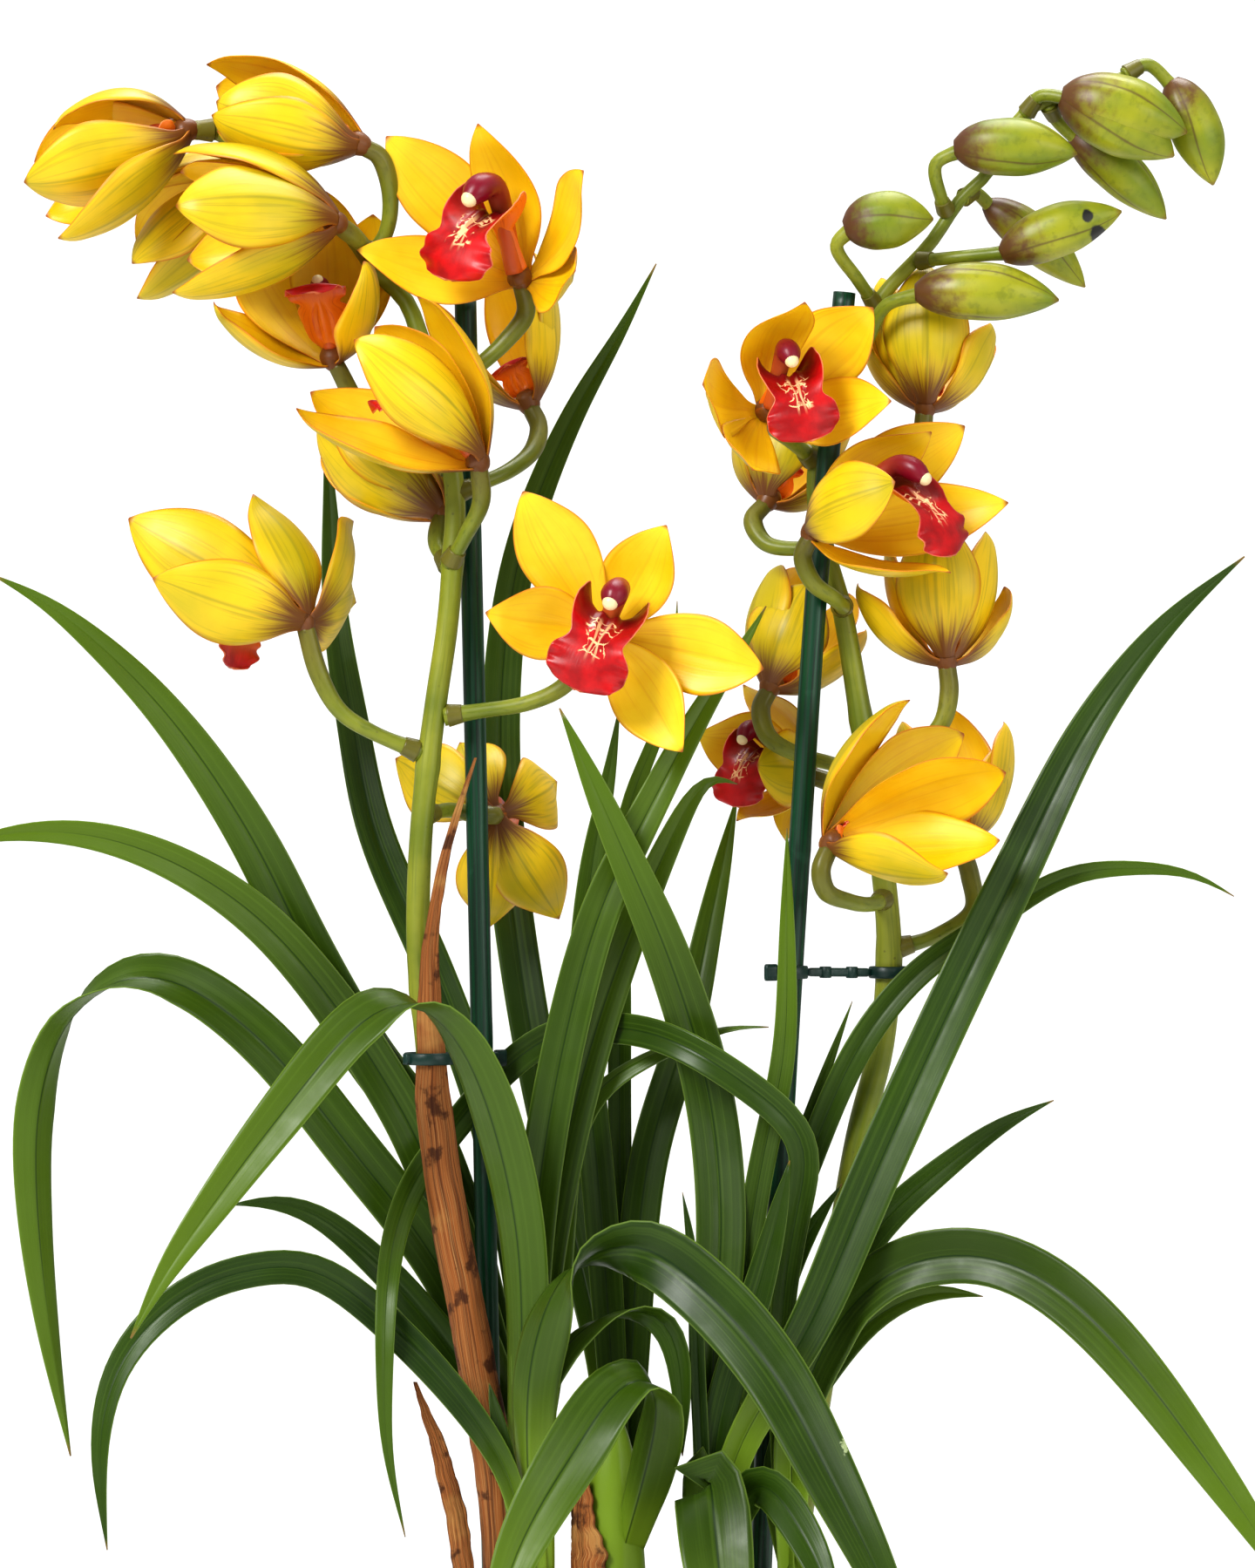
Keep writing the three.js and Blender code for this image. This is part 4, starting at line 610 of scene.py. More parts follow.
def stalk(bloom, radius, seed):
    """A bloom's stalk: it leaves the stem slender, swells into the ribbed ovary, and narrows at the bloom.
    Six shallow grooves run along it, drawn as a cosine around the ring that deepens toward the bloom."""
    middle, *_, arriving = stalk_frame(bloom)
    end = middle - arriving * 0.003
    line = through(np.vstack([place(bloom["stalk"]), end]), 44)
    share = np.linspace(0, 1, 44)
    reach = radius / 1000 * smooth([0, 0.1, 0.45, 0.8, 1], [1.12, 0.92, 0.9, 1.08, 1.02], share)
    turn = ring_angles(24)
    groove = 1 - 0.07 * share[:, None] * (0.5 - 0.5 * np.cos(6 * turn + seed))
    return tube(line, reach, 24, seed, groove).marked(STALK_FLESH)


def collar(route, radius, seed):
    """The small dry bract at a stalk's foot: a short sleeve that thins up the stalk."""
    line = through(place(route), 120)
    run = measured(line)
    line = line[(run > 0.001) & (run < 0.0075)]
    sleeve = tube(line, np.linspace(1.3, 1.02, len(line)) * radius / 1000, 16, seed)
    sleeve.uv[:, 1] = 1.0
    return sleeve.marked(STALK_FLESH)


def bud(spec, seed, tip=None):
    """A closed bud: a tube along a line that sags by half a sine wave, its radius an oval drawn to a point.
    Three seams between its sepals are bell-shaped grooves that turn slightly round it."""
    ends = place([spec["base"], tip or spec["tip"]])
    rows, sides = 40, 36
    share = np.linspace(0, 1, rows)
    chord = ends[1] - ends[0]
    sag = np.cross(unit(chord), [0, 1, 0]) * 0.0018 * np.sign(chord[0])
    line = ends[0] + share[:, None] * chord + np.sin(np.pi * share)[:, None] * sag
    outline = smooth([0, 0.06, 0.2, 0.42, 0.62, 0.82, 0.93, 1],
                     [0.3, 0.55, 0.86, 1, 0.94, 0.6, 0.3, 0.04], share)
    turn = ring_angles(sides)
    thirds = (turn[None] - 0.5 * share[:, None] + seed) * 3 / (2 * np.pi)
    seam = np.exp(-((np.mod(thirds, 1) - 0.5) / 0.05)**2)
    ridge = np.exp(-((np.mod(thirds + 0.5, 1) - 0.5) / 0.1)**2)
    shape = 1 - 0.1 * seam * np.interp(share, [0, 0.2, 0.8, 1], [0, 0.7, 1, 0.4])[:, None] + 0.03 * ridge
    return tube(line, outline * spec["width"] / 2000, sides, seed, shape).marked(BUD_FLESH)


def bud_stalk(spec, seed):
    """A bud's stalk: a tube from the stem to just inside the bud, slimmer between its ends."""
    ends = place([spec["base"], spec["tip"]])
    root = ends[0] * 0.92 + ends[1] * 0.08
    line = through(np.vstack([place(spec["stalk"]), root]), 30)
    radii = np.interp(np.linspace(0, 1, 30), [0, 0.15, 0.8, 1], [3.1, 2.5, 2.6, 3.2]) / 1000
    return tube(line, radii, 16, seed)


# Blooms

# Half width of a sepal and a petal at these shares of their length
TEPAL_SHARES = [0, 0.08, 0.2, 0.34, 0.5, 0.66, 0.8, 0.9, 0.97, 1]
SEPAL_OUTLINE = [0.2, 0.3, 0.62, 0.88, 1, 0.92, 0.68, 0.42, 0.16, 0.02]
PETAL_OUTLINE = [0.16, 0.24, 0.52, 0.8, 0.98, 0.99, 0.78, 0.5, 0.2, 0.02]


def tepal(bloom, spec, width, thickness, seed, outline):
    """A sepal or petal. Its middle line is a quadratic curve from behind the heart, through a bend bowed away
    from the way the bloom faces, to its tip. Across it, s runs from -1 to 1, and the tepal rises toward the
    inside as s squared times the cup, less a shallow groove at the midrib. Its edges wave, its tip curls."""
    middle, ahead, *_ = stalk_frame(bloom)
    depth = bloom["heart"][2]
    flat = place([[spec[0], spec[1], depth]])[0]
    span = np.linalg.norm(flat - middle) * 1000
    lean = depth + spec[2] * np.sqrt(max(spec[3]**2 - span**2, 0))
    tip = place([[spec[0], spec[1], lean]])[0]
    bow = (spec[4] if len(spec) > 4 else 8) / 1000
    chord = unit(tip - middle)
    inner = unit(ahead - chord * ahead.dot(chord))
    root = middle - inner * 0.0032
    bend = root * 0.55 + tip * 0.45 - inner * bow * 2
    rows, cols = 34, 15
    t = np.linspace(0, 1, 200)[:, None]
    curve = (1 - t)**2 * root + 2 * t * (1 - t) * bend + t**2 * tip
    run = measured(curve)
    share = np.linspace(0, 1, rows)
    line = np.stack([np.interp(share * run[-1], run, curve[:, i]) for i in range(3)], axis=1)
    over = unit(np.cross(inner, chord))
    way = tangents(line)
    face = unit(np.cross(way, over))
    closed = bloom.get("droop", 1) < 0.7
    half = width / 2000 * bloom.get("broad", 1.2 if closed else 1) * smooth(TEPAL_SHARES, outline, share)
    s = np.linspace(1, -1, cols)
    cup = (0.42 if closed else 0.24) * np.interp(share, [0, 0.15, 0.5, 0.85, 1], [0.5, 0.9, 1, 0.9, 0.6])
    wave = 0.045 * np.sin(share[:, None] * 9 + seed * 7 + 2.1 * np.sign(s)) * np.abs(s)**3
    keel = -0.045 * np.exp(-(s / 0.09)**2) * np.interp(share, [0, 0.7, 1], [1, 0.7, 0])[:, None]
    height = half[:, None] * (cup[:, None] * s**2 + wave + keel)
    curl = 0.0022 * np.clip((share - 0.86) / 0.14, 0, 1)**2 * (1 if closed else -1)
    points = (line[:, None] + over * (half[:, None] * s * (1 - 0.12 * cup[:, None] * s**2))[..., None]
              + face[:, None] * (height + curl[:, None])[..., None])
    thin = np.interp(share, [0, 0.1, 0.8, 1], [1.8, 1.2, 0.9, 0.5])[:, None]
    return blade(points, thickness / 1000 * (0.4 + 0.6 * (1 - np.abs(s)**2))[None] * thin, seed)


def heart(bloom, seed):
    """The base that the tepals grow on: a short round neck from the stalk's end to the front of the bloom."""
    middle, ahead, *_, arriving = stalk_frame(bloom)
    line = through(np.array([middle - arriving * 0.0045, middle - arriving * 0.001, middle + ahead * 0.0028,
                             middle + ahead * 0.0044]), 12)
    radii = smooth([0, 0.3, 0.75, 1], [0.0031, 0.0043, 0.0046, 0.0028], np.linspace(0, 1, 12))
    patch = tube(line, radii, 18, seed)
    patch.uv[:, 1] *= 0.06
    return patch


# A lip's middle line beyond its claw, forward and down from the claw's end, in millimetres for a lip of size
# 1, then half its width, as an arc's length, and half the arc's turn in degrees at these shares of its length
LIP_AHEAD = [0, 6, 12, 17, 20.5, 22, 20.5]
LIP_DOWN = [2, 6, 8.5, 11, 15, 22, 30]
LIP_SHARES = [0, 0.1, 0.2, 0.3, 0.4, 0.48, 0.55, 0.66, 0.8, 0.91, 0.97, 1]
LIP_HALF = [5, 13, 16, 17, 16.5, 13, 9.5, 13, 14, 12, 8, 1.5]
LIP_TURN = [70, 84, 88, 86, 76, 52, 20, -8, -18, -22, -22, -18]


def mouth(bloom):
    """Where a lip and its column start, where their claw ends, the ways they look and stand (the bloom's own,
    or its mouth and crown), the way across both, and metres for each of the lip's millimetres."""
    middle, ahead, *_ = stalk_frame(bloom)
    look = toward(bloom.get("mouth", bloom["facing"]))
    crown = toward(bloom.get("crown", bloom["up"]))
    start = middle + ahead * 0.0036
    root = start + axes(bloom.get("root", [0, 0, 0])) / 1000
    return start, root, look, crown, unit(np.cross(crown, look)), bloom["lip"] / 1000


def lip(bloom, thickness, seed):
    """The lip. Its middle line runs along its claw, then forward, and hooks down. Each row across it is an
    arc as long as its outline's width, bent by the row's turn: upright at the two side lobes, which stand
    round the column, flat at the notch behind them, and bent back at the wide front lobe. A sine wave runs
    round the front lobe's margin, and two keels stand as bell curves on either side of the middle."""
    start, root, ahead, up, across, size = mouth(bloom)
    rows, cols = 58, 33
    spots = root + size * (np.outer(LIP_AHEAD, ahead) * bloom.get("reach", 1)
                           - np.outer(LIP_DOWN, up) * bloom.get("droop", 1))
    own = np.linalg.norm(np.diff(spots, axis=0), axis=1).sum()
    spots[0] = start
    line = through(spots, rows)
    run = measured(line)
    share = np.clip(1 - (run[-1] - run) / own, 0, 1)
    near = np.clip((0.62 - share) / 0.2, 0, 1)[:, None]
    facing = unit(unit(np.cross(tangents(line), across)) * (1 - near) + (up - 0.12 * ahead) * near)
    half = smooth(LIP_SHARES, LIP_HALF, share)
    turn = np.radians(np.interp(share, LIP_SHARES, LIP_TURN))
    turn = np.where(np.abs(turn) < 0.02, 0.02, turn)
    s = np.linspace(-1, 1, cols)
    radius = half / turn
    aside = radius[:, None] * np.sin(turn[:, None] * s)
    rise = radius[:, None] * (1 - np.cos(turn[:, None] * s))
    front = np.clip((share - 0.5) / 0.2, 0, 1)[:, None]
    rise = rise + 1.1 * front * np.abs(s)**3 * np.sin(share[:, None] * 38 + seed * 3 + 2 * np.sign(s))
    rise = rise + 1.6 * (np.exp(-((np.abs(s) - 0.16) / 0.07)**2)
                         * np.interp(share, [0.1, 0.2, 0.5, 0.6], [0, 1, 0.8, 0])[:, None])
    points = line[:, None] + size * (facing[:, None] * rise[..., None] + across * aside[..., None])
    points = points[:, ::-1] if np.dot(np.cross(across, ahead), up) < 0 else points
    uv = np.stack(np.broadcast_arrays(np.linspace(0, 1, cols)[None], share[:, None]), axis=-1)
    return blade(points, thickness / 1000 * (0.5 + 0.5 * (1 - s**2))[None], seed, uv)


def column(bloom, seed):
    """The column over the lip's throat: an arched rod that widens to its end, and the round cap that closes
    it, a tube whose radius is a half circle's."""
    start, root, ahead, up, across, size = mouth(bloom)
    far = bloom.get("reach", 1)
    share = np.linspace(0, 1, 26)
    spots = root + size * (np.outer([0, 7, 13, 18, 21], ahead) * far + np.outer([0.5, 4, 5.2, 3.4, 0], up))
    spots[0] = start
    line = through(spots, 26)
    reach = size * smooth([0, 0.3, 0.7, 0.9, 1], [3.1, 3.1, 3.9, 4.2, 2.2], share)
    rod = tube(line, reach, 20, seed, mark=tuple(across)).marked(COLUMN_FLESH)
    tip = root + size * (20.6 * far * ahead + 1.0 * up)
    t = np.linspace(0, np.pi, 12)
    way = unit(ahead * 0.8 - up * 0.6)
    ball = tip + way * (-np.cos(t) * size * 2.6)[:, None]
    cap = tube(ball, np.maximum(np.sin(t), 0.02) * size * 2.7, 18, seed)
    return [rod, cap.marked(CAP_FLESH)]


# Sheaths, stakes, clips, pot and bark

CLIP_HOLE = 4.9
POT_WALL = 2.4
POT_STEP = 3.2
POT_LIP = 14
POT_FLOOR = 3
CHIP_SPREAD = 73

def sheath(given, thickness, seed):
    """A dry leaf sheath: an arc of a tube between two angles around its middle line. Long ridges run up it
    as sines of the angle, and sines of the height make its two edges ragged."""
    rows, cols = 90, 23
    count = np.arange(len(given))
    middles, *values = zip(*given)
    line, at = through(place(middles), rows, count)
    radius, low, high = (np.interp(at, count, value) for value in values)
    radius = radius / 1000
    share = np.linspace(0, 1, rows)
    width = high - low
    low = low + width * (0.03 * np.sin(share * 31 + seed) + 0.02 * np.sin(share * 77))
    high = high + width * (0.03 * np.sin(share * 27 + 2 * seed) + 0.02 * np.sin(share * 83 + 1))
    s = np.linspace(0, 1, cols)
    angle = np.radians(low[:, None] * (1 - s) + high[:, None] * s)
    fine = 0.015 * np.sin(angle * 41 + share[:, None] * 9)
    reach = radius[:, None] * (1 + 0.02 * np.sin(angle * 24) + fine)
    arc = np.stack([reach * np.cos(angle), reach * np.sin(angle), np.zeros_like(angle)], axis=-1)
    points = line[:, None] + arc
    return blade(points, thickness / 1000 * np.interp(share, [0, 0.9, 1], [1, 0.9, 0.4])[:, None], seed)


def stake(side, radius, seed):
    """A support stake: a round rod along its route. Eight shallow ribs are a cosine round it, and each joint
    is a bell curve added to its radius. The left one has a small knob near its top."""
    line = through(place(STAKES[side]), 120)
    share = np.linspace(0, 1, 120)
    rings = {"left": (0.055, 0.5), "right": (0.375, 0.7)}[side]
    swell = sum(0.07 * np.exp(-((share - ring) / 0.004)**2) for ring in rings)
    turn = ring_angles(24)
    rib = 1 + 0.02 * np.cos(8 * turn)[None] + swell[:, None]
    patches = [tube(line, np.full(120, radius / 1000), 24, seed, rib)]
    if side == "left":
        knob = line[7] + np.array([0.0036, -0.0036, 0])
        t = np.linspace(0, np.pi, 9)
        patches.append(tube(knob + np.array([0, 0, 1]) * (-np.cos(t) * 0.0034)[:, None],
                            np.maximum(np.sin(t), 0.03) * 0.0024, 12, seed))
    return patches


def band(middle, radius, wall, height, seed):
    """A flat ring: a rectangle with cut corners carried round an upright axis."""
    inner, outer, r, h = radius, radius + wall, wall * 0.3, height / 2
    profile = [[inner + r, -h], [outer - r, -h], [outer, -h + r], [outer, h - r], [outer - r, h],
               [inner + r, h], [inner, h - r], [inner, -h + r], [inner + r, -h]]
    ring = turned(profile, 40, (0, 0), seed)
    ring.points = ring.points + middle
    return ring


def rod(start, end, wide, tall, seed):
    """A rounded bar: a squared ring carried along a straight line and drawn in at both ends."""
    rows = 14
    line = start + np.linspace(0, 1, rows)[:, None] * (end - start)
    turn = ring_angles(16)
    square = 1 / np.maximum(np.abs(np.cos(turn)), np.abs(np.sin(turn)))**0.8
    reach = np.interp(np.linspace(0, 1, rows), [0, 0.08, 0.92, 1], [0.7, 1, 1, 0.7]) * 0.001
    patch = tube(line, reach, 16, seed, np.broadcast_to(square, (rows, 16)), mark=(0.01, 0.02, 1))
    middle = start + (end - start) * 0.5
    way = unit(end - start)
    aside = unit(np.cross(way, [0, 0, 1]))
    rise = np.cross(aside, way)
    offset = patch.points - line.mean(axis=0)
    a, w, u = offset @ aside, offset @ way, offset @ rise
    patch.points = middle + a[:, None] * aside * wide / 2 + w[:, None] * way + u[:, None] * rise * tall / 2
    return patch


def clip(spec, seed):
    """A clip: a band round the stem, a band round the stake, a bar between them and the latch beyond."""
    stem_spot, stake_spot = place([spec["stem"], spec["stake"]])
    way = stake_spot - stem_spot
    way[2] = 0
    way = unit(way)
    radius = spec["radius"]
    start = stem_spot + way * (radius + 0.9) / 1000
    end = stake_spot - way * (CLIP_HOLE + 0.9) / 1000
    latch = stake_spot + way * (CLIP_HOLE + 1.2) / 1000
    grip = stem_spot - way * (radius + 1.1) / 1000
    teeth = [band(start + (end - start) * f, 1.5, 0.8, 4.4, seed) for f in (0.3, 0.7)]
    return [band(stem_spot, radius, 1.4, 4.6, seed), band(stake_spot, CLIP_HOLE, 1.4, 5, seed),
            rod(start, end, 2.2, 3.4, seed), rod(latch, latch + way * 0.005, 2.6, 6.5, seed),
            rod(grip + way * 0.001, grip - way * 0.002, 3, 4.2, seed), *teeth]


def pot(sizes):
    """The pot: its wall's outline turned about the upright axis, with rounded corners at the rim and the
    foot and a shallow groove under the rim."""
    rim, base, high = sizes.pot_rim * 1000, sizes.pot_base * 1000, sizes.pot_height * 1000
    body = rim - POT_STEP
    foot = high - POT_LIP
    slant = (body - base) / foot
    outline = [[0, 1.6], [base - 8, 1.6], [base - 5.5, 1.2], [base - 4, 0], [base - 0.8, 0],
               [base - 0.1, 0.7], *[[base + up * slant, up] for up in (2, 10, 60, 110)],
               [body - 6 * slant, foot - 6], [body - 5.4 * slant - 0.5, foot - 5.4],
               [body - 3.4 * slant - 0.5, foot - 3.4], [body - 3 * slant, foot - 3],
               [body - 0.2, foot - 0.4], [body, foot], [rim - 0.7, foot], [rim - 0.1, foot + 0.5],
               [rim, foot + 1.2], [rim, high - 1.4],
               [rim - 0.4, high - 0.4], [rim - 1.2, high], [rim - POT_WALL + 0.7, high],
               [rim - POT_WALL, high - 0.7], [rim - POT_WALL, foot + 4], [body - POT_WALL, foot - 1],
               [base - POT_WALL, POT_FLOOR], [0, POT_FLOOR]]
    dense = []
    for (r0, z0), (r1, z1) in zip(outline[:-1], outline[1:]):
        steps = 4 if abs(z1 - z0) > 20 else 1
        dense += [[r0 + (r1 - r0) * i / steps, z0 + (z1 - z0) * i / steps] for i in range(steps)]
    return turned(dense + [outline[-1]], 120)


def chips(count, seed):
    """Bark chips: small blunt boxes, each a ball's grid of points with its coordinates raised to a power,
    then stretched, roughened and turned at random, laid over the mix where no bulb, stem or stake stands."""
    draw = np.random.default_rng(seed)
    spots = []
    taken = [(*shoot["bulb"][:2], shoot["bulb"][2] + 3) for shoot in SHOOTS]
    taken += [(*place([route[-1]])[0][:2] * 1000, 7) for route in STAKES.values()]
    taken += [(spec["stem"][0][0], spec["stem"][0][2], 8) for spec in SPIKES.values()]
    while len(spots) < count:
        r, a = CHIP_SPREAD * np.sqrt(draw.random()), draw.random() * 2 * np.pi
        x, y = r * np.cos(a), r * np.sin(a)
        if all((x - tx)**2 + (y - ty)**2 > (tr + 3)**2 for tx, ty, tr in taken):
            spots.append((x, y, BARK_TOP - 2.2 - 3 * (r / 80)**2 + 4.5 * draw.random()))
    spots = np.array(spots) / 1000
    v, u = np.meshgrid(np.linspace(0, np.pi, 7), ring_angles(8), indexing="ij")
    ball = np.stack([np.sin(v) * np.cos(u), np.sin(v) * np.sin(u), np.cos(v)], axis=-1).reshape(-1, 3)
    block = np.sign(ball) * np.abs(ball)**0.55
    sizes = [draw.uniform(low, high, count) for low, high in ((4, 10), (3, 7), (1.2, 3))]
    size = np.stack(sizes, axis=1) / 1000
    rough = 1 + 0.16 * draw.standard_normal((count, len(block), 1))
    rough[:, :8] = rough[:, :1]
    rough[:, -8:] = rough[:, -1:]
    shape = block[None] * rough * size[:, None]
    spin, tilt = draw.uniform(0, 2 * np.pi, count), draw.normal(0, 0.35, count)
    c, s, ct, st = np.cos(spin), np.sin(spin), np.cos(tilt), np.sin(tilt)
    x, y, z = shape[..., 0], shape[..., 1], shape[..., 2]
    x, z = x * ct[:, None] + z * st[:, None], -x * st[:, None] + z * ct[:, None]
    shape = np.stack([x * c[:, None] - y * s[:, None], x * s[:, None] + y * c[:, None], z], axis=-1)
    points = (shape + spots[:, None]).reshape(-1, 3)
    faces = grid_faces(7, 8, around=True, flip=True)
    faces = (faces[None] + (np.arange(count) * len(block))[:, None, None]).reshape(-1, 4)
    uv = np.tile(np.stack([u / (2 * np.pi), v / np.pi], axis=-1).reshape(-1, 2), (count, 1))
    patch = Patch(points, faces, uv, 1.0, 0.0)
    patch.seed = np.repeat(draw.random(count), len(block))
    return patch


def soil():
    """The mix below the chips: a low dome turned about the upright axis, closed underneath."""
    slope = (88.8 - 66) / 144

    def inner(z):
        """The mix's radius at a height: that of the pot's inner wall, less a little."""
        return 66 - POT_WALL + slope * (z - POT_FLOOR) - 0.6
    profile = [[0, 3.6], [inner(3.6), 3.6], [inner(60), 60], [inner(139), 139], [inner(139) - 3, 141],
               [52, 142.5], [25, 143.4], [0, 143.6]]
    return turned(profile, 72, (0, 0), 0.5)


# Finishes

class Sheet:
    """Short calls on a node tree. Each adds one node, feeds its sockets and hands back its output."""

    def __init__(self, tree):
        self.tree = tree

    def feed(self, node, feeds):
        for socket, value in dict(feeds).items():
            if isinstance(value, bpy.types.NodeSocket):
                self.tree.links.new(value, node.inputs[socket])
            else:
                node.inputs[socket].default_value = value

    def add(self, kind, feeds=(), out=0, **settings):
        node = self.tree.nodes.new(kind)
        for key, value in settings.items():
            setattr(node, key, value)
        self.feed(node, feeds)
        return node.outputs[out]

    def math(self, operation, a, b=0.0):
        return self.add("ShaderNodeMath", {0: a, 1: b}, operation=operation)

    def times(self, a, b):
        return self.math("MULTIPLY", a, b)

    def stirred(self, value, noise, reach):
        """A value moved up or down by a noise's distance from one half, times the reach."""
        return self.math("ADD", value, self.times(self.math("SUBTRACT", noise, 0.5), reach))

    def between(self, value, low, high, to_low=0.0, to_high=1.0):
        """A smooth step from one value to the other as the input goes from low to high."""
        return self.add("ShaderNodeMapRange", {0: value, 1: low, 2: high, 3: to_low, 4: to_high},
                        interpolation_type="SMOOTHSTEP")

    def mix(self, share, a, b):
        return self.add("ShaderNodeMix", {0: share, 6: a, 7: b}, out=2, data_type="RGBA")

    def join(self, x, y, z=0.0):
        return self.add("ShaderNodeCombineXYZ", {0: x, 1: y, 2: z})

    def noise(self, vector, scale, detail=2.0, roughness=0.5):
        return self.add("ShaderNodeTexNoise", {"Vector": vector, "Scale": scale, "Detail": detail,
                                               "Roughness": roughness})

    def spot(self):
        """The point's place on the object."""
        return self.add("ShaderNodeTexCoord", out="Object")

    def apart(self, vector, at):
        """How far a vector is from a point."""
        return self.add("ShaderNodeVectorMath", {0: vector, 1: at}, out="Value", operation="DISTANCE")

    def group(self, tree, feeds):
        return self.add("ShaderNodeGroup", feeds, node_tree=tree)


def new_group(name, takes, gives):
    """An empty shader group with float inputs, given as name and default, and float outputs. Hands back the
    tree, its inputs and outputs as seen inside, and a sheet on it."""
    tree = bpy.data.node_groups.new(name, "ShaderNodeTree")
    for label, value in takes.items():
        socket = tree.interface.new_socket(label, in_out="INPUT", socket_type="NodeSocketFloat")
        socket.default_value = value
    for label in gives:
        tree.interface.new_socket(label, in_out="OUTPUT", socket_type="NodeSocketFloat")
    start, end = tree.nodes.new("NodeGroupInput"), tree.nodes.new("NodeGroupOutput")
    return tree, start.outputs, end.inputs, Sheet(tree)


def streaks_group():
    """Streaks: noise drawn out along the blade, so it shows as veins or fibres that run from base to tip."""
    tree, given, gives, s = new_group(
        "streaks", {"Across": 0.5, "Along": 0.0, "Seed": 0.0, "Count": 30.0, "Length": 1.5}, ["Value"])
    spot = s.join(s.times(given["Across"], given["Count"]),
                  s.times(given["Along"], given["Length"]),
                  s.times(given["Seed"], 17.3))
    tree.links.new(s.noise(spot, 1.0, 3.0, 0.6), gives["Value"])
    return tree


def midline_group():
    """Midline: 1 on the middle of the blade and 0 beyond the given half width, as a share of the blade."""
    tree, given, gives, s = new_group("midline", {"Across": 0.5, "Width": 0.04}, ["Mask"])
    off = s.math("ABSOLUTE", s.math("SUBTRACT", given["Across"], 0.5))
    tree.links.new(s.between(off, 0.0, given["Width"], 1.0, 0.0), gives["Mask"])
    return tree


def margin_group():
    """Margin: 1 on the blade's two edges, fading to 0 at the given width in from them."""
    tree, given, gives, s = new_group("margin", {"Across": 0.5, "Width": 0.05}, ["Mask"])
    near = s.math("MINIMUM", given["Across"], s.math("SUBTRACT", 1.0, given["Across"]))
    tree.links.new(s.between(near, 0.0, given["Width"], 1.0, 0.0), gives["Mask"])
    return tree


def blotches_group():
    """Blotches: soft clouds from Object coordinates, moved by the blade's seed, for patches of colour."""
    tree, given, gives, s = new_group("blotches", {"Scale": 20.0, "Seed": 0.0}, ["Value"])
    shift = s.times(given["Seed"], 3.7)
    moved = s.add("ShaderNodeVectorMath", {0: s.spot(), 1: s.join(shift, shift, shift)}, operation="ADD")
    tree.links.new(s.noise(moved, given["Scale"], 4.0, 0.55), gives["Value"])
    return tree


def shade(r, g, b):
    """An sRGB colour, 0 to 255, as a linear one."""
    c = np.array([r, g, b]) / 255
    return (*np.where(c <= 0.04045, c / 12.92, ((c + 0.055) / 1.055)**2.4).tolist(), 1.0)


class Finish(Sheet):
    """A material under way: its tree, its shader, and the values that its blades carry."""

    def __init__(self, name, **constants):
        material = bpy.data.materials.new(name)
        material.use_nodes = True
        super().__init__(material.node_tree)
        self.material = material
        self.shader = self.tree.nodes["Principled BSDF"]
        self.feed(self.shader, {label.replace("_", " "): value for label, value in constants.items()})
        split = self.tree.nodes.new("ShaderNodeSeparateXYZ")
        self.tree.links.new(self.add("ShaderNodeUVMap", uv_map="UVMap"), split.inputs[0])
        self.across, self.along = split.outputs[0], split.outputs[1]
        self.flesh = self.add("ShaderNodeAttribute", out="Fac", attribute_name="flesh")
        self.seed = self.add("ShaderNodeAttribute", out="Fac", attribute_name="seed")

    def streaks(self, count, length):
        return self.group(GROUPS["streaks"], {"Across": self.across, "Along": self.along, "Seed": self.seed,
                                              "Count": count, "Length": length})

    def blotches(self, scale):
        return self.group(GROUPS["blotches"], {"Scale": scale, "Seed": self.seed})

    def midline(self, width):
        return self.group(GROUPS["midline"], {"Across": self.across, "Width": width})

    def margin(self, width):
        return self.group(GROUPS["margin"], {"Across": self.across, "Width": width})

    def done(self, colour, roughness, height, strength, distance):
        """The finished material, with its relief as a bump from the height."""
        bump = self.add("ShaderNodeBump", {"Strength": strength, "Distance": distance, "Height": height})
        self.feed(self.shader, {"Base Color": colour, "Roughness": roughness, "Normal": bump})
        return self.material


GROUPS = {}
FINISHES = {}


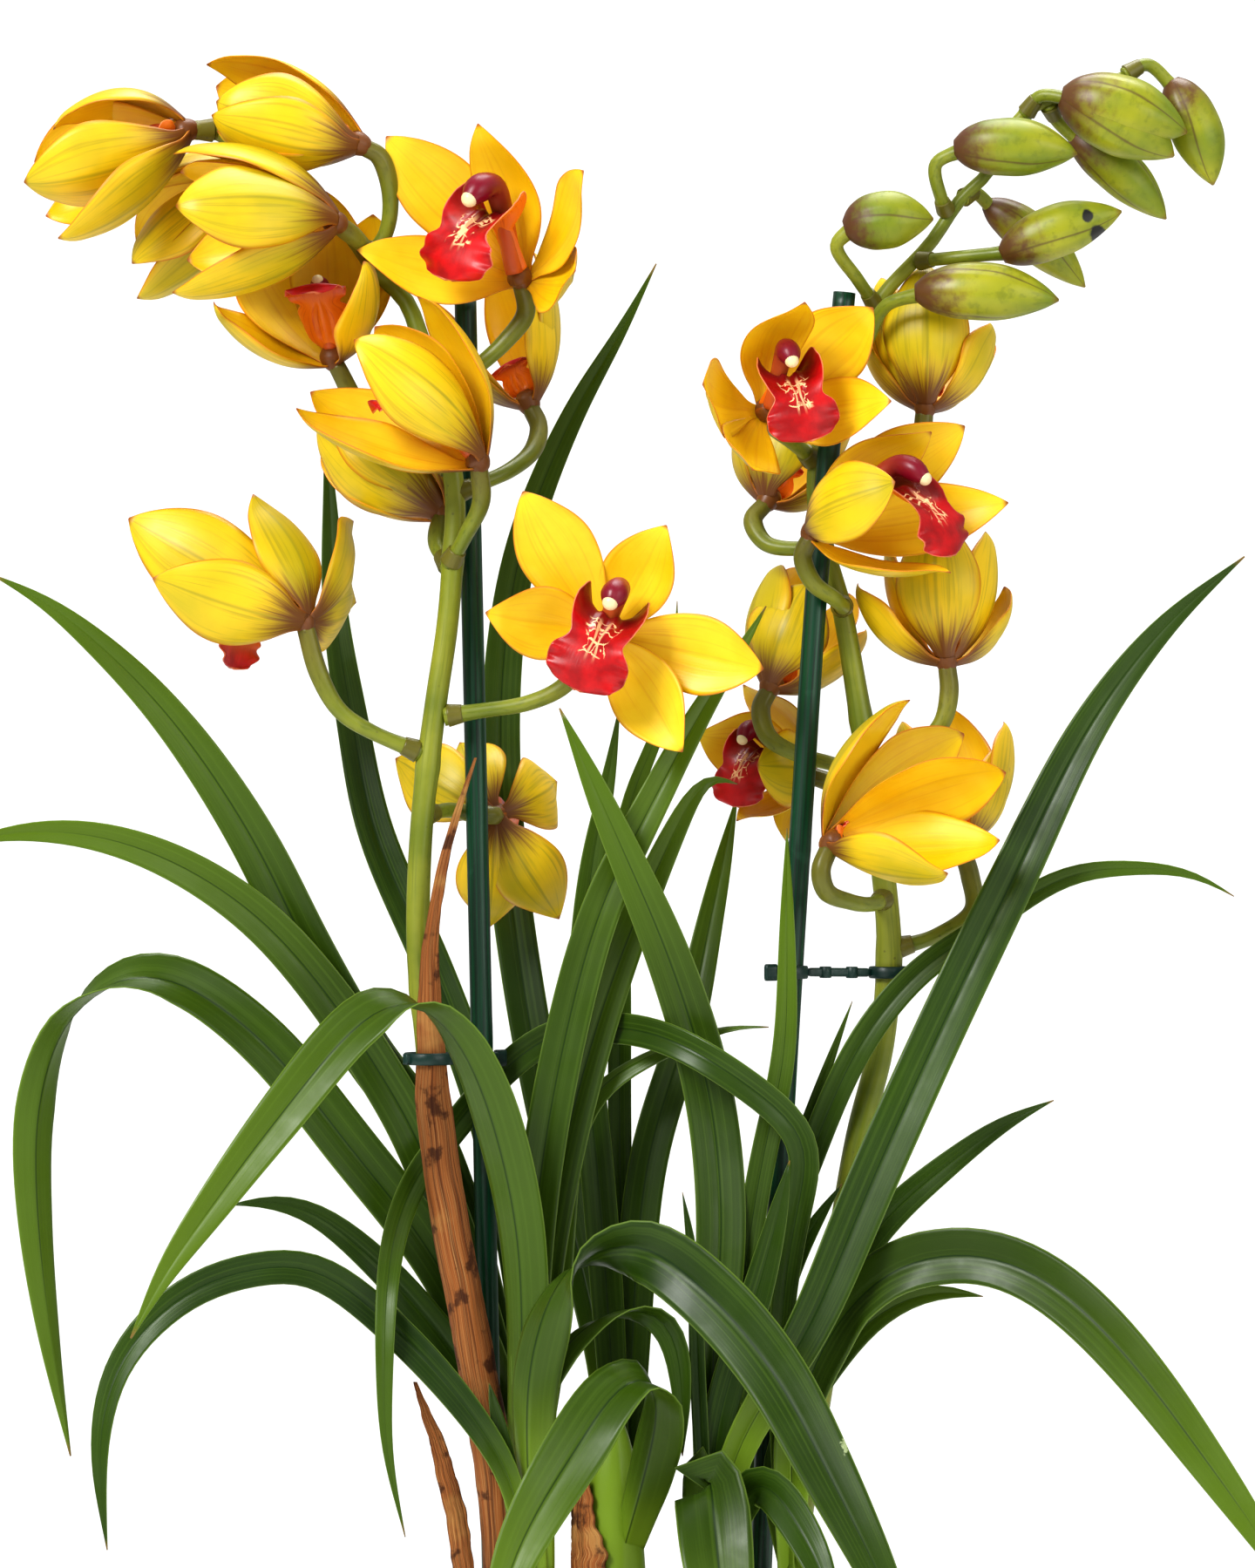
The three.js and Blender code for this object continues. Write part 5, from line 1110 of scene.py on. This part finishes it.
def leaf_finish(colours):
    """Leaf: mid green clouds and fine veins, yellow-green at the base, lighter yellow-green toward the tips
    of some leaves (partly their paler colour, partly painted light on tips that face the lamps), a dark
    midrib, pale thin edges, a lighter underside, a dry tip, and one pale scratch."""
    f = Finish("leaf", Specular_IOR_Level=0.26)
    veins = f.streaks(18.0, 1.0)
    cloud = f.blotches(9.0)
    green = f.mix(f.between(cloud, 0.3, 0.7), shade(26, 48, 6), (*colours.leaf, 1.0))
    green = f.mix(f.between(f.seed, 0.0, 1.0, 0.0, 0.4), green, shade(66, 88, 14))
    blunt = f.between(f.along, 0.95, 0.8)
    green = f.mix(f.times(f.between(veins, 0.45, 0.7), f.times(blunt, 0.22)), green, shade(92, 120, 40))
    # Toward the tips of some leaves, chosen by seed: partly a paler tip colour and partly painted light, for
    # hanging tips that face the lamps.
    pale_and_lit_tips = f.times(f.between(f.along, 0.5, 0.95), f.between(f.seed, 0.3, 0.8, 0.05, 0.5))
    green = f.mix(pale_and_lit_tips, green, shade(108, 136, 24))
    under = f.mix(0.4, green, shade(84, 110, 30))
    green = f.mix(f.between(f.flesh, 0.2, 0.8), green, under)
    low = f.stirred(f.along, cloud, 0.2)
    green = f.mix(f.between(low, 0.22, 0.02), green, shade(124, 152, 42))
    green = f.mix(f.times(f.midline(0.03), f.times(blunt, 0.8)), green, shade(18, 44, 8))
    green = f.mix(f.times(f.margin(0.03), 0.35), green, shade(140, 168, 70))
    flat = f.add("ShaderNodeVectorMath", {0: f.spot(), 1: (1, 0, 0.45)}, operation="MULTIPLY")
    graze = f.stirred(f.apart(flat, (0.0797, 0, 0.1160)), f.blotches(900.0), 0.004)
    green = f.mix(f.times(f.between(graze, 0.0016, 0.0006), 0.7), green, shade(176, 190, 140))
    high = f.stirred(f.along, veins, 0.02)
    green = f.mix(f.between(high, 0.985, 1.0), green, shade(132, 104, 52))
    rough = f.between(f.blotches(60.0), 0.3, 0.7, 0.3, 0.44)
    return f.done(green, rough, f.times(veins, blunt), 0.25, 0.0002)


def tepal_finish(colours):
    """Tepal: bright yellow inside and greener outside, with faint veins, a thin orange-brown edge toward the
    tip, purple-brown outside at the base that runs out along the veins, and a painted orange glow of light
    in patches along the margins toward the tip."""
    f = Finish("tepal", Subsurface_Weight=0.12, Subsurface_Radius=(1.0, 0.7, 0.1), Subsurface_Scale=0.002,
               Specular_IOR_Level=0.4)
    veins = f.streaks(26.0, 1.2)
    cloud = f.blotches(34.0)
    yellow = (*colours.tepal, 1.0)
    inside = f.mix(f.between(cloud, 0.35, 0.75), yellow, shade(246, 210, 40))
    inside = f.mix(f.times(f.between(veins, 0.5, 0.72), 0.35), inside, shade(216, 146, 14))
    outside = f.mix(f.between(f.blotches(18.0), 0.35, 0.65), shade(234, 196, 20), shade(192, 172, 20))
    outside = f.mix(f.times(f.between(f.margin(0.28), 0.0, 1.0), 0.4), outside, shade(240, 196, 24))
    outside = f.mix(f.times(f.between(veins, 0.48, 0.7), 0.5), outside, shade(150, 138, 24))
    outside = f.mix(f.times(f.midline(0.035), 0.5), outside, shade(132, 128, 28))
    run = f.stirred(f.along, veins, 0.5)
    flush = f.between(run, 0.38, 0.08)
    outside = f.mix(f.times(flush, 0.92), outside, shade(98, 40, 30))
    inside = f.mix(f.times(f.between(run, 0.16, 0.0), 0.4), inside, shade(196, 120, 40))
    inside = f.mix(f.times(f.midline(0.03), 0.25), inside, shade(214, 160, 30))
    colour = f.mix(f.between(f.flesh, 0.2, 0.8), inside, outside)
    tipward = f.between(f.along, 0.2, 0.95, 0.45, 1.0)
    edge = f.times(f.margin(0.035), tipward)
    colour = f.mix(f.times(edge, 0.85), colour, shade(190, 92, 14))
    # Painted light: an orange glow in patches along the margins toward the tip, standing for light bouncing
    # in the cupped tepal.
    painted_glow = f.times(f.margin(0.14), f.between(f.blotches(50.0), 0.4, 0.7, 0.1, 0.55))
    colour = f.mix(f.times(painted_glow, tipward), colour, shade(224, 138, 14))
    colour = f.mix(f.between(f.along, 0.965, 1.0), colour, shade(160, 84, 26))
    specks = f.add("ShaderNodeTexVoronoi", {"Vector": f.spot(), "Scale": 90.0}, out="Distance")
    spot = f.times(f.between(specks, 0.1, 0.05), f.between(f.blotches(14.0), 0.6, 0.68))
    colour = f.mix(f.times(spot, 0.7), colour, shade(150, 96, 40))
    return f.done(colour, f.between(cloud, 0.3, 0.7, 0.36, 0.48), veins, 0.3, 0.0002)


def lip_finish(colours):
    """Lip: deep red lobes with a pale margin and cream branches in the throat, orange-yellow on the back of
    the side lobes, and painted shade that darkens the inside toward the throat. The column is purple-red,
    and its cap is cream."""
    f = Finish("lip", Subsurface_Weight=0.15, Subsurface_Radius=(1.0, 0.25, 0.15), Subsurface_Scale=0.002,
               Specular_IOR_Level=0.42)
    veins = f.streaks(30.0, 3.0)
    off = f.math("ABSOLUTE", f.math("SUBTRACT", f.across, 0.5))
    red = f.mix(f.between(f.blotches(120.0), 0.3, 0.7), (*colours.lip, 1.0), shade(150, 4, 10))
    # Painted shade: the inside darkens toward the throat, where the side lobes and the column shade it.
    inside = f.mix(f.times(f.between(f.along, 0.56, 0.2), 0.8), red, shade(104, 5, 9))
    spot = f.join(f.times(f.across, 5.0), f.times(f.along, 6.0), f.seed)
    spot = f.add("ShaderNodeVectorMath", {0: spot, 1: f.join(f.noise(spot, 2.0), 0.0)}, operation="ADD")
    branch = f.add("ShaderNodeTexVoronoi", {"Vector": spot, "Scale": 1.5}, feature="DISTANCE_TO_EDGE")
    throat = f.times(f.between(f.along, 0.26, 0.38), f.between(f.along, 0.76, 0.6))
    throat = f.times(throat, f.between(off, 0.26, 0.1))
    marks = f.times(f.between(throat, 0.2, 0.6), f.between(branch, 0.075, 0.03))
    marks = f.times(marks, f.between(f.noise(spot, 1.6), 0.38, 0.5))
    ridge = f.times(f.between(f.math("ABSOLUTE", f.math("SUBTRACT", off, 0.05)), 0.022, 0.01), throat)
    inside = f.mix(f.math("MAXIMUM", marks, f.times(ridge, 0.7)), inside, shade(250, 204, 150))
    outside = f.mix(f.between(f.along, 0.5, 0.95), shade(226, 118, 22), red)
    outside = f.mix(f.times(f.between(veins, 0.5, 0.7), 0.5), outside, shade(176, 50, 20))
    colour = f.mix(f.between(f.flesh, 0.2, 0.8), inside, outside)
    rim = f.math("MAXIMUM", f.margin(0.018), f.between(f.along, 0.985, 0.996))
    colour = f.mix(f.times(rim, 0.6), colour, shade(236, 150, 100))
    rod = f.mix(f.between(f.along, 0.3, 0.9), shade(190, 90, 40), shade(124, 10, 36))
    colour = f.mix(f.between(f.flesh, 1.4, 1.6), colour, rod)
    colour = f.mix(f.between(f.flesh, 2.4, 2.6), colour, shade(240, 216, 168))
    return f.done(colour, f.between(f.blotches(160.0), 0.3, 0.7, 0.3, 0.45), veins, 0.3, 0.0002)


def stem_finish(colours):
    """Stem: olive green with fine lengthwise streaks and small dark specks. Buds are yellow-green with dark
    seams and a purple-brown base, and one has two black spots. Stalks turn brown toward the bloom."""
    f = Finish("stem", Subsurface_Weight=0.08, Subsurface_Radius=(0.6, 1.0, 0.2), Subsurface_Scale=0.003,
               Specular_IOR_Level=0.42)
    streak = f.streaks(14.0, 12.0)
    cloud = f.blotches(26.0)
    olive = f.mix(f.between(cloud, 0.3, 0.7), (*colours.stem, 1.0), shade(142, 146, 44))
    olive = f.mix(f.times(f.between(streak, 0.5, 0.7), 0.4), olive, shade(74, 90, 22))
    stalk = f.mix(f.times(f.between(f.along, 0.35, 1.0), 0.6), olive, shade(88, 66, 28))
    olive = f.mix(f.between(f.flesh, 1.2, 1.4), olive, stalk)
    specks = f.add("ShaderNodeTexVoronoi", {"Vector": f.spot(), "Scale": 240.0}, out="Distance")
    speck = f.times(f.between(specks, 0.16, 0.08), f.between(f.blotches(40.0), 0.48, 0.6))
    olive = f.mix(f.times(speck, 0.5), olive, shade(74, 66, 34))
    fresh = f.mix(f.between(cloud, 0.3, 0.7), shade(164, 162, 34), shade(112, 128, 22))
    fresh = f.mix(f.times(f.between(streak, 0.5, 0.72), 0.4), fresh, shade(92, 104, 20))
    run = f.stirred(f.along, streak, 0.5)
    fresh = f.mix(f.times(f.between(run, 0.46, 0.06), 0.9), fresh, shade(88, 40, 34))
    fresh = f.mix(f.times(f.between(f.along, 0.94, 1.0), 0.6), fresh, shade(128, 76, 30))
    turn = f.math("ADD", f.across, f.math("SUBTRACT", f.times(f.seed, 0.1592), f.times(f.along, 0.0796)))
    seam = f.math("ABSOLUTE", f.math("SUBTRACT", f.math("FRACT", f.times(turn, 3.0)), 0.5))
    fresh = f.mix(f.times(f.between(seam, 0.04, 0.0), 0.7), fresh, shade(86, 60, 28))
    flat = f.add("ShaderNodeVectorMath", {0: f.spot(), 1: (1, 0, 1)}, operation="MULTIPLY")
    for at, size in (((0.1745, 0, 0.7155), 0.0028), ((0.1788, 0, 0.7089), 0.0038)):
        away = f.stirred(f.apart(flat, at), f.blotches(300.0), 0.002)
        fresh = f.mix(f.between(away, size, size * 0.7), fresh, shade(26, 26, 20))
    olive = f.mix(f.between(f.flesh, 1.7, 1.9), olive, fresh)
    return f.done(olive, f.between(cloud, 0.3, 0.7, 0.34, 0.46), streak, 0.25, 0.0002)


def sheath_finish(colours):
    """Dry sheath: fibres of orange-brown and pale straw that run its length, with dark brown between them."""
    f = Finish("sheath", Specular_IOR_Level=0.25)
    fibre = f.streaks(26.0, 3.0)
    fine = f.streaks(90.0, 7.0)
    brown = f.mix(f.between(fibre, 0.32, 0.6), shade(92, 46, 18), (*colours.sheath, 1.0))
    brown = f.mix(f.times(f.between(fine, 0.48, 0.7), 0.7), brown, shade(200, 152, 96))
    brown = f.mix(f.times(f.between(f.blotches(30.0), 0.5, 0.66), 0.5), brown, shade(190, 150, 86))
    brown = f.mix(f.times(f.between(f.blotches(80.0), 0.56, 0.64), 0.8), brown, shade(56, 26, 12))
    brown = f.mix(f.times(f.margin(0.04), 0.5), brown, shade(92, 50, 26))
    height = f.math("ADD", fibre, f.times(fine, 0.6))
    return f.done(brown, f.between(fine, 0.3, 0.7, 0.6, 0.85), height, 0.7, 0.0005)


def stake_finish(colours):
    """Stake: dark green plastic with lengthwise drawn streaks and scuffs."""
    f = Finish("stake", Specular_IOR_Level=0.5)
    streak = f.streaks(22.0, 8.0)
    green = f.mix(f.between(streak, 0.35, 0.65), (*colours.stake, 1.0), shade(2, 36, 20))
    green = f.mix(f.times(f.between(f.blotches(90.0), 0.6, 0.7), 0.3), green, shade(40, 86, 62))
    return f.done(green, f.between(streak, 0.3, 0.7, 0.3, 0.46), streak, 0.3, 0.0002)


def clip_finish(colours):
    """Clip: dark green moulded plastic with a fine grain."""
    f = Finish("clip", Specular_IOR_Level=0.5)
    grain = f.blotches(700.0)
    green = f.mix(f.between(f.blotches(60.0), 0.3, 0.7), shade(8, 40, 34), shade(16, 54, 46))
    return f.done(green, f.between(grain, 0.3, 0.7, 0.36, 0.5), grain, 0.15, 0.0001)


def pot_finish(colours):
    """Pot: dark moulded plastic with a fine grain and dull scuffs."""
    f = Finish("pot", Specular_IOR_Level=0.45)
    grain = f.blotches(420.0)
    wear = f.between(f.blotches(16.0), 0.55, 0.75)
    tint = f.mix(f.times(wear, 0.3), (*colours.pot, 1.0), shade(78, 80, 78))
    return f.done(tint, f.between(grain, 0.3, 0.7, 0.38, 0.52), grain, 0.12, 0.0002)


def bark_finish(colours):
    """Bark: chips of red-brown to grey-brown, each with its own tone, with grain and pale broken patches."""
    f = Finish("bark", Specular_IOR_Level=0.2)
    grain = f.blotches(260.0)
    tone = f.mix(f.seed, shade(92, 56, 34), shade(142, 98, 62))
    tone = f.mix(f.times(f.between(grain, 0.45, 0.7), 0.6), tone, shade(54, 34, 22))
    tone = f.mix(f.times(f.between(f.blotches(110.0), 0.58, 0.7), 0.5), tone, shade(176, 138, 98))
    return f.done(tone, 0.85, grain, 0.8, 0.0008)


def make_finishes(colours):
    """Builds the shared groups and then one material for each slot of the record."""
    GROUPS.update(streaks=streaks_group(), midline=midline_group(), margin=margin_group(),
                  blotches=blotches_group())
    FINISHES.update(leaf=leaf_finish(colours), tepal=tepal_finish(colours), lip=lip_finish(colours),
                    stem=stem_finish(colours), sheath=sheath_finish(colours), stake=stake_finish(colours),
                    clip=clip_finish(colours), pot=pot_finish(colours), bark=bark_finish(colours))


# What a user would change

def size(label, about, default):
    return FloatProperty(name=label, description=about, default=default, subtype="DISTANCE", unit="LENGTH")


class OrchidSizes(bpy.types.PropertyGroup):
    """Sizes of the pieces, in metres."""
    leaf_thickness: size("Leaf thickness", "Thickness of a leaf at its midrib", 0.001)
    tepal_thickness: size("Tepal thickness", "Thickness of a sepal or petal", 0.0009)
    petal_width: size("Petal width", "Width of the two petals of each bloom", 0.031)
    sepal_width: size("Sepal width", "Width of the three sepals of each bloom", 0.029)
    stalk_radius: size("Stalk radius", "Radius of a bloom's stalk", 0.0035)
    stake_radius: size("Stake radius", "Radius of the two support stakes", 0.0042)
    pot_rim: size("Pot rim radius", "Outside radius of the pot's rim", 0.092)
    pot_base: size("Pot base radius", "Radius of the pot at its foot", 0.066)
    pot_height: size("Pot height", "Height of the pot", 0.158)
    chip_count: IntProperty(name="Bark chips", description="Number of bark chips on the mix",
                            default=420, min=1)


def tint(label, about, *srgb):
    return FloatVectorProperty(name=label, description=about, default=shade(*srgb)[:3], subtype="COLOR",
                               min=0, max=1)


class OrchidColours(bpy.types.PropertyGroup):
    """Main colour of each finish."""
    leaf: tint("Leaf", "Green of the leaves", 48, 74, 9)
    tepal: tint("Tepal", "Yellow of the sepals and petals", 236, 190, 12)
    lip: tint("Lip", "Red of the lip", 200, 8, 16)
    stem: tint("Stem", "Olive green of the stems", 106, 118, 30)
    sheath: tint("Sheath", "Orange-brown of the dry sheaths", 154, 92, 44)
    stake: tint("Stake", "Green of the stakes", 4, 68, 40)
    pot: tint("Pot", "Colour of the pot", 38, 40, 42)


BUD_STALK_RADIUS = 2.9
SHEATH_THICKNESS = 1.0
DRAIN_COUNT = 5
DRAIN_RING = 42
DRAIN_RADIUS = 6
FLOOR_RADIUS = 1500
WORLD_STRENGTH = 0.42


def settings():
    """The sizes and colours that the scene holds."""
    scene = bpy.context.scene
    return scene.orchid_sizes, scene.orchid_colours


class ORCHID_OT_finishes(bpy.types.Operator):
    """Build the shared node groups and the materials"""
    bl_idname = "orchid.finishes"
    bl_label = "Finishes"

    def execute(self, context):
        make_finishes(settings()[1])
        return {"FINISHED"}


class ORCHID_OT_leaves(bpy.types.Operator):
    """Build each leafy shoot: its pseudobulb and its strap leaves"""
    bl_idname = "orchid.leaves"
    bl_label = "Leafy shoots"

    def execute(self, context):
        sizes = settings()[0]
        draw = np.random.default_rng(7)
        for shoot in SHOOTS:
            patches = [bulb(*shoot["bulb"], seed=0.9)]
            patches += [leaf(width, route, sizes.leaf_thickness * 1000, draw.random())
                        for width, route in shoot["leaves"].values()]
            piece(shoot["name"] + "_leaves", patches, FINISHES["leaf"], [shoot["name"]])
        return {"FINISHED"}


class ORCHID_OT_spikes(bpy.types.Operator):
    """Build the two flower stems with their stalks and buds"""
    bl_idname = "orchid.spikes"
    bl_label = "Flower stems and buds"

    def execute(self, context):
        radius = settings()[0].stalk_radius * 1000
        for side, spec in SPIKES.items():
            patches = [stem(spec["stem"], spec["radii"])]
            for i, bloom in enumerate(b for b in BLOOMS if b["name"][0] == side[0]):
                patches.append(stalk(bloom, radius, i * 0.37))
                patches.append(collar([*bloom["stalk"], bloom["heart"]], radius, i))
            for i, each in enumerate(BUDS if side == "right" else []):
                patches.append(bud(each, i * 1.3))
                if "second" in each:
                    patches.append(bud(each, i * 1.3 + 1, each["second"]))
                patches += [bud_stalk(each, i), collar([*each["stalk"], each["base"]], BUD_STALK_RADIUS, i)]
            piece(f"spike_{side}_stem", patches, FINISHES["stem"], [f"spike_{side}"])
        return {"FINISHED"}


class ORCHID_OT_blooms(bpy.types.Operator):
    """Build each open bloom: its yellow tepals, and its red lip with the column"""
    bl_idname = "orchid.blooms"
    bl_label = "Blooms"

    def execute(self, context):
        sizes = settings()[0]
        thick = sizes.tepal_thickness * 1000
        for i, bloom in enumerate(BLOOMS):
            sepals = [bloom["top"], *bloom["sepals"]]
            yellow = [heart(bloom, i * 0.1)]
            yellow += [tepal(bloom, spec, sizes.sepal_width * 1000, thick, i + j * 0.2, SEPAL_OUTLINE)
                       for j, spec in enumerate(sepals)]
            yellow += [tepal(bloom, spec, sizes.petal_width * 1000, thick, i + j * 0.2 + 0.1, PETAL_OUTLINE)
                       for j, spec in enumerate(bloom["petals"])]
            name = f"bloom_{bloom['name']}"
            piece(name + "_yellow", yellow, FINISHES["tepal"], [name + "_tepals"])
            piece(name + "_red", [lip(bloom, thick, i * 0.7), *column(bloom, i * 0.7)], FINISHES["lip"],
                  [name + "_lip"])
        return {"FINISHED"}


class ORCHID_OT_sheaths(bpy.types.Operator):
    """Build the dry brown leaf sheaths"""
    bl_idname = "orchid.sheaths"
    bl_label = "Dry sheaths"

    def execute(self, context):
        for i, (name, rows) in enumerate(SHEATHS.items()):
            dry = sheath(rows, SHEATH_THICKNESS, i * 1.7 + 0.4)
            piece(name + "_dry", [dry], FINISHES["sheath"], [name])
        return {"FINISHED"}


class ORCHID_OT_supports(bpy.types.Operator):
    """Build the stakes and the clips that tie the stems to them"""
    bl_idname = "orchid.supports"
    bl_label = "Stakes and clips"

    def execute(self, context):
        radius = settings()[0].stake_radius * 1000
        for side in STAKES:
            piece(f"stake_{side}_rod", stake(side, radius, 0.3), FINISHES["stake"],
                  [f"stake_{side}"])
            piece(f"clip_{side}_tie", clip(CLIPS[side], 0.5), FINISHES["clip"], [f"clip_{side}"])
        return {"FINISHED"}


class ORCHID_OT_pot(bpy.types.Operator):
    """Build the pot, with its drain holes cut, and the bark mix with its chips"""
    bl_idname = "orchid.pot"
    bl_label = "Pot and bark"

    def execute(self, context):
        sizes = settings()[0]
        shell = piece("pot_shell", [pot(sizes)], FINISHES["pot"], ["pot"])
        cutters = []
        for i in range(DRAIN_COUNT):
            angle = i / DRAIN_COUNT * 2 * np.pi
            middle = (DRAIN_RING * np.cos(angle), DRAIN_RING * np.sin(angle))
            cutters.append(turned([[0, -1], [DRAIN_RADIUS, -1], [DRAIN_RADIUS, 5], [0, 5]], 32, middle))
        tool = piece("drain_plugs", cutters, FINISHES["pot"], [])
        cut = shell.modifiers.new("drain", "BOOLEAN")
        cut.object, cut.operation, cut.solver = tool, "DIFFERENCE", "EXACT"
        context.view_layer.update()
        done = bpy.data.meshes.new_from_object(shell.evaluated_get(context.evaluated_depsgraph_get()))
        shell.modifiers.clear()
        shell.data = done
        bpy.data.objects.remove(tool)
        piece("bark_chips", [soil(), chips(sizes.chip_count, 11)], FINISHES["bark"], ["bark_mix"])
        return {"FINISHED"}


def area_light(name, spot, wide, power):
    """A square soft light at a spot, turned to the middle of the plant."""
    light = bpy.data.lights.new(name, "AREA")
    light.shape, light.size, light.size_y, light.energy = "RECTANGLE", wide, wide, power
    lamp = bpy.data.objects.new(name, light)
    lamp.location = spot
    lamp.rotation_euler = (Vector((0, 0, 0.5)) - Vector(spot)).to_track_quat("-Z", "Y").to_euler()
    bpy.context.scene.collection.objects.link(lamp)


class ORCHID_OT_studio(bpy.types.Operator):
    """Build the pale floor, the soft lights, the white surround and the camera"""
    bl_idname = "orchid.studio"
    bl_label = "Studio"

    def execute(self, context):
        floor = turned([[FLOOR_RADIUS, 0], [1100, 0], [600, 0], [0, 0]], 96)
        mesh = bpy.data.meshes.new("floor")
        mesh.from_pydata(floor.points, [], floor.faces[:, ::-1].tolist())
        ground = bpy.data.objects.new("floor", mesh)
        context.scene.collection.objects.link(ground)
        plain = bpy.data.materials.new("pale_floor")
        plain.use_nodes = True
        shader = plain.node_tree.nodes["Principled BSDF"]
        shader.inputs["Base Color"].default_value = (0.86, 0.86, 0.85, 1)
        shader.inputs["Roughness"].default_value = 0.7
        mesh.materials.append(plain)
        world = bpy.data.worlds.new("studio")
        world.use_nodes = True
        context.scene.world = world
        tree = world.node_tree
        back = tree.nodes["Background"]
        back.inputs["Color"].default_value = (1, 1, 1, 1)
        seen = tree.nodes.new("ShaderNodeLightPath").outputs["Is Camera Ray"]
        level = tree.nodes.new("ShaderNodeMapRange")
        level.inputs["To Min"].default_value = WORLD_STRENGTH
        tree.links.new(seen, level.inputs["Value"])
        tree.links.new(level.outputs["Result"], back.inputs["Strength"])
        area_light("key", (-1.3, -1.9, 1.9), 1.0, 62)
        area_light("fill", (1.7, -1.6, 1.0), 1.4, 16)
        area_light("top", (0.2, 0.5, 2.4), 1.2, 34)
        context.scene.view_settings.view_transform = "Standard"
        context.scene.view_settings.look = "Medium High Contrast"
        lens = bpy.data.cameras.new("camera")
        lens.sensor_fit, lens.sensor_height, lens.sensor_width = "VERTICAL", 36, 36
        lens.lens = lens.sensor_height / SIGHTED_HEIGHT * VIEW_DISTANCE
        lens.clip_end = 100
        camera = bpy.data.objects.new("camera", lens)
        camera.location = (0, -VIEW_DISTANCE / 1000, VIEW_HEIGHT / 1000)
        camera.rotation_euler = (np.pi / 2, 0, 0)
        context.scene.collection.objects.link(camera)
        context.scene.camera = camera
        return {"FINISHED"}


STEPS = [ORCHID_OT_finishes, ORCHID_OT_leaves, ORCHID_OT_spikes, ORCHID_OT_blooms, ORCHID_OT_sheaths,
         ORCHID_OT_supports, ORCHID_OT_pot, ORCHID_OT_studio]


class ORCHID_PT_panel(bpy.types.Panel):
    """The orchid's steps and settings"""
    bl_label = "Potted orchid"
    bl_idname = "ORCHID_PT_panel"
    bl_space_type = "VIEW_3D"
    bl_region_type = "UI"
    bl_category = "Orchid"

    def draw(self, context):
        for step in STEPS:
            self.layout.operator(step.bl_idname)
        for group in settings():
            box = self.layout.box()
            for label in type(group).__annotations__:
                box.prop(group, label)


CLASSES = [OrchidSizes, OrchidColours, *STEPS, ORCHID_PT_panel]


def register():
    for cls in CLASSES:
        bpy.utils.register_class(cls)
    bpy.types.Scene.orchid_sizes = PointerProperty(type=OrchidSizes)
    bpy.types.Scene.orchid_colours = PointerProperty(type=OrchidColours)


def unregister():
    del bpy.types.Scene.orchid_sizes
    del bpy.types.Scene.orchid_colours
    for cls in reversed(CLASSES):
        bpy.utils.unregister_class(cls)


def main():
    register()
    for step in STEPS:
        family, name = step.bl_idname.split(".")
        getattr(getattr(bpy.ops, family), name)()


if __name__ == "__main__":
    main()
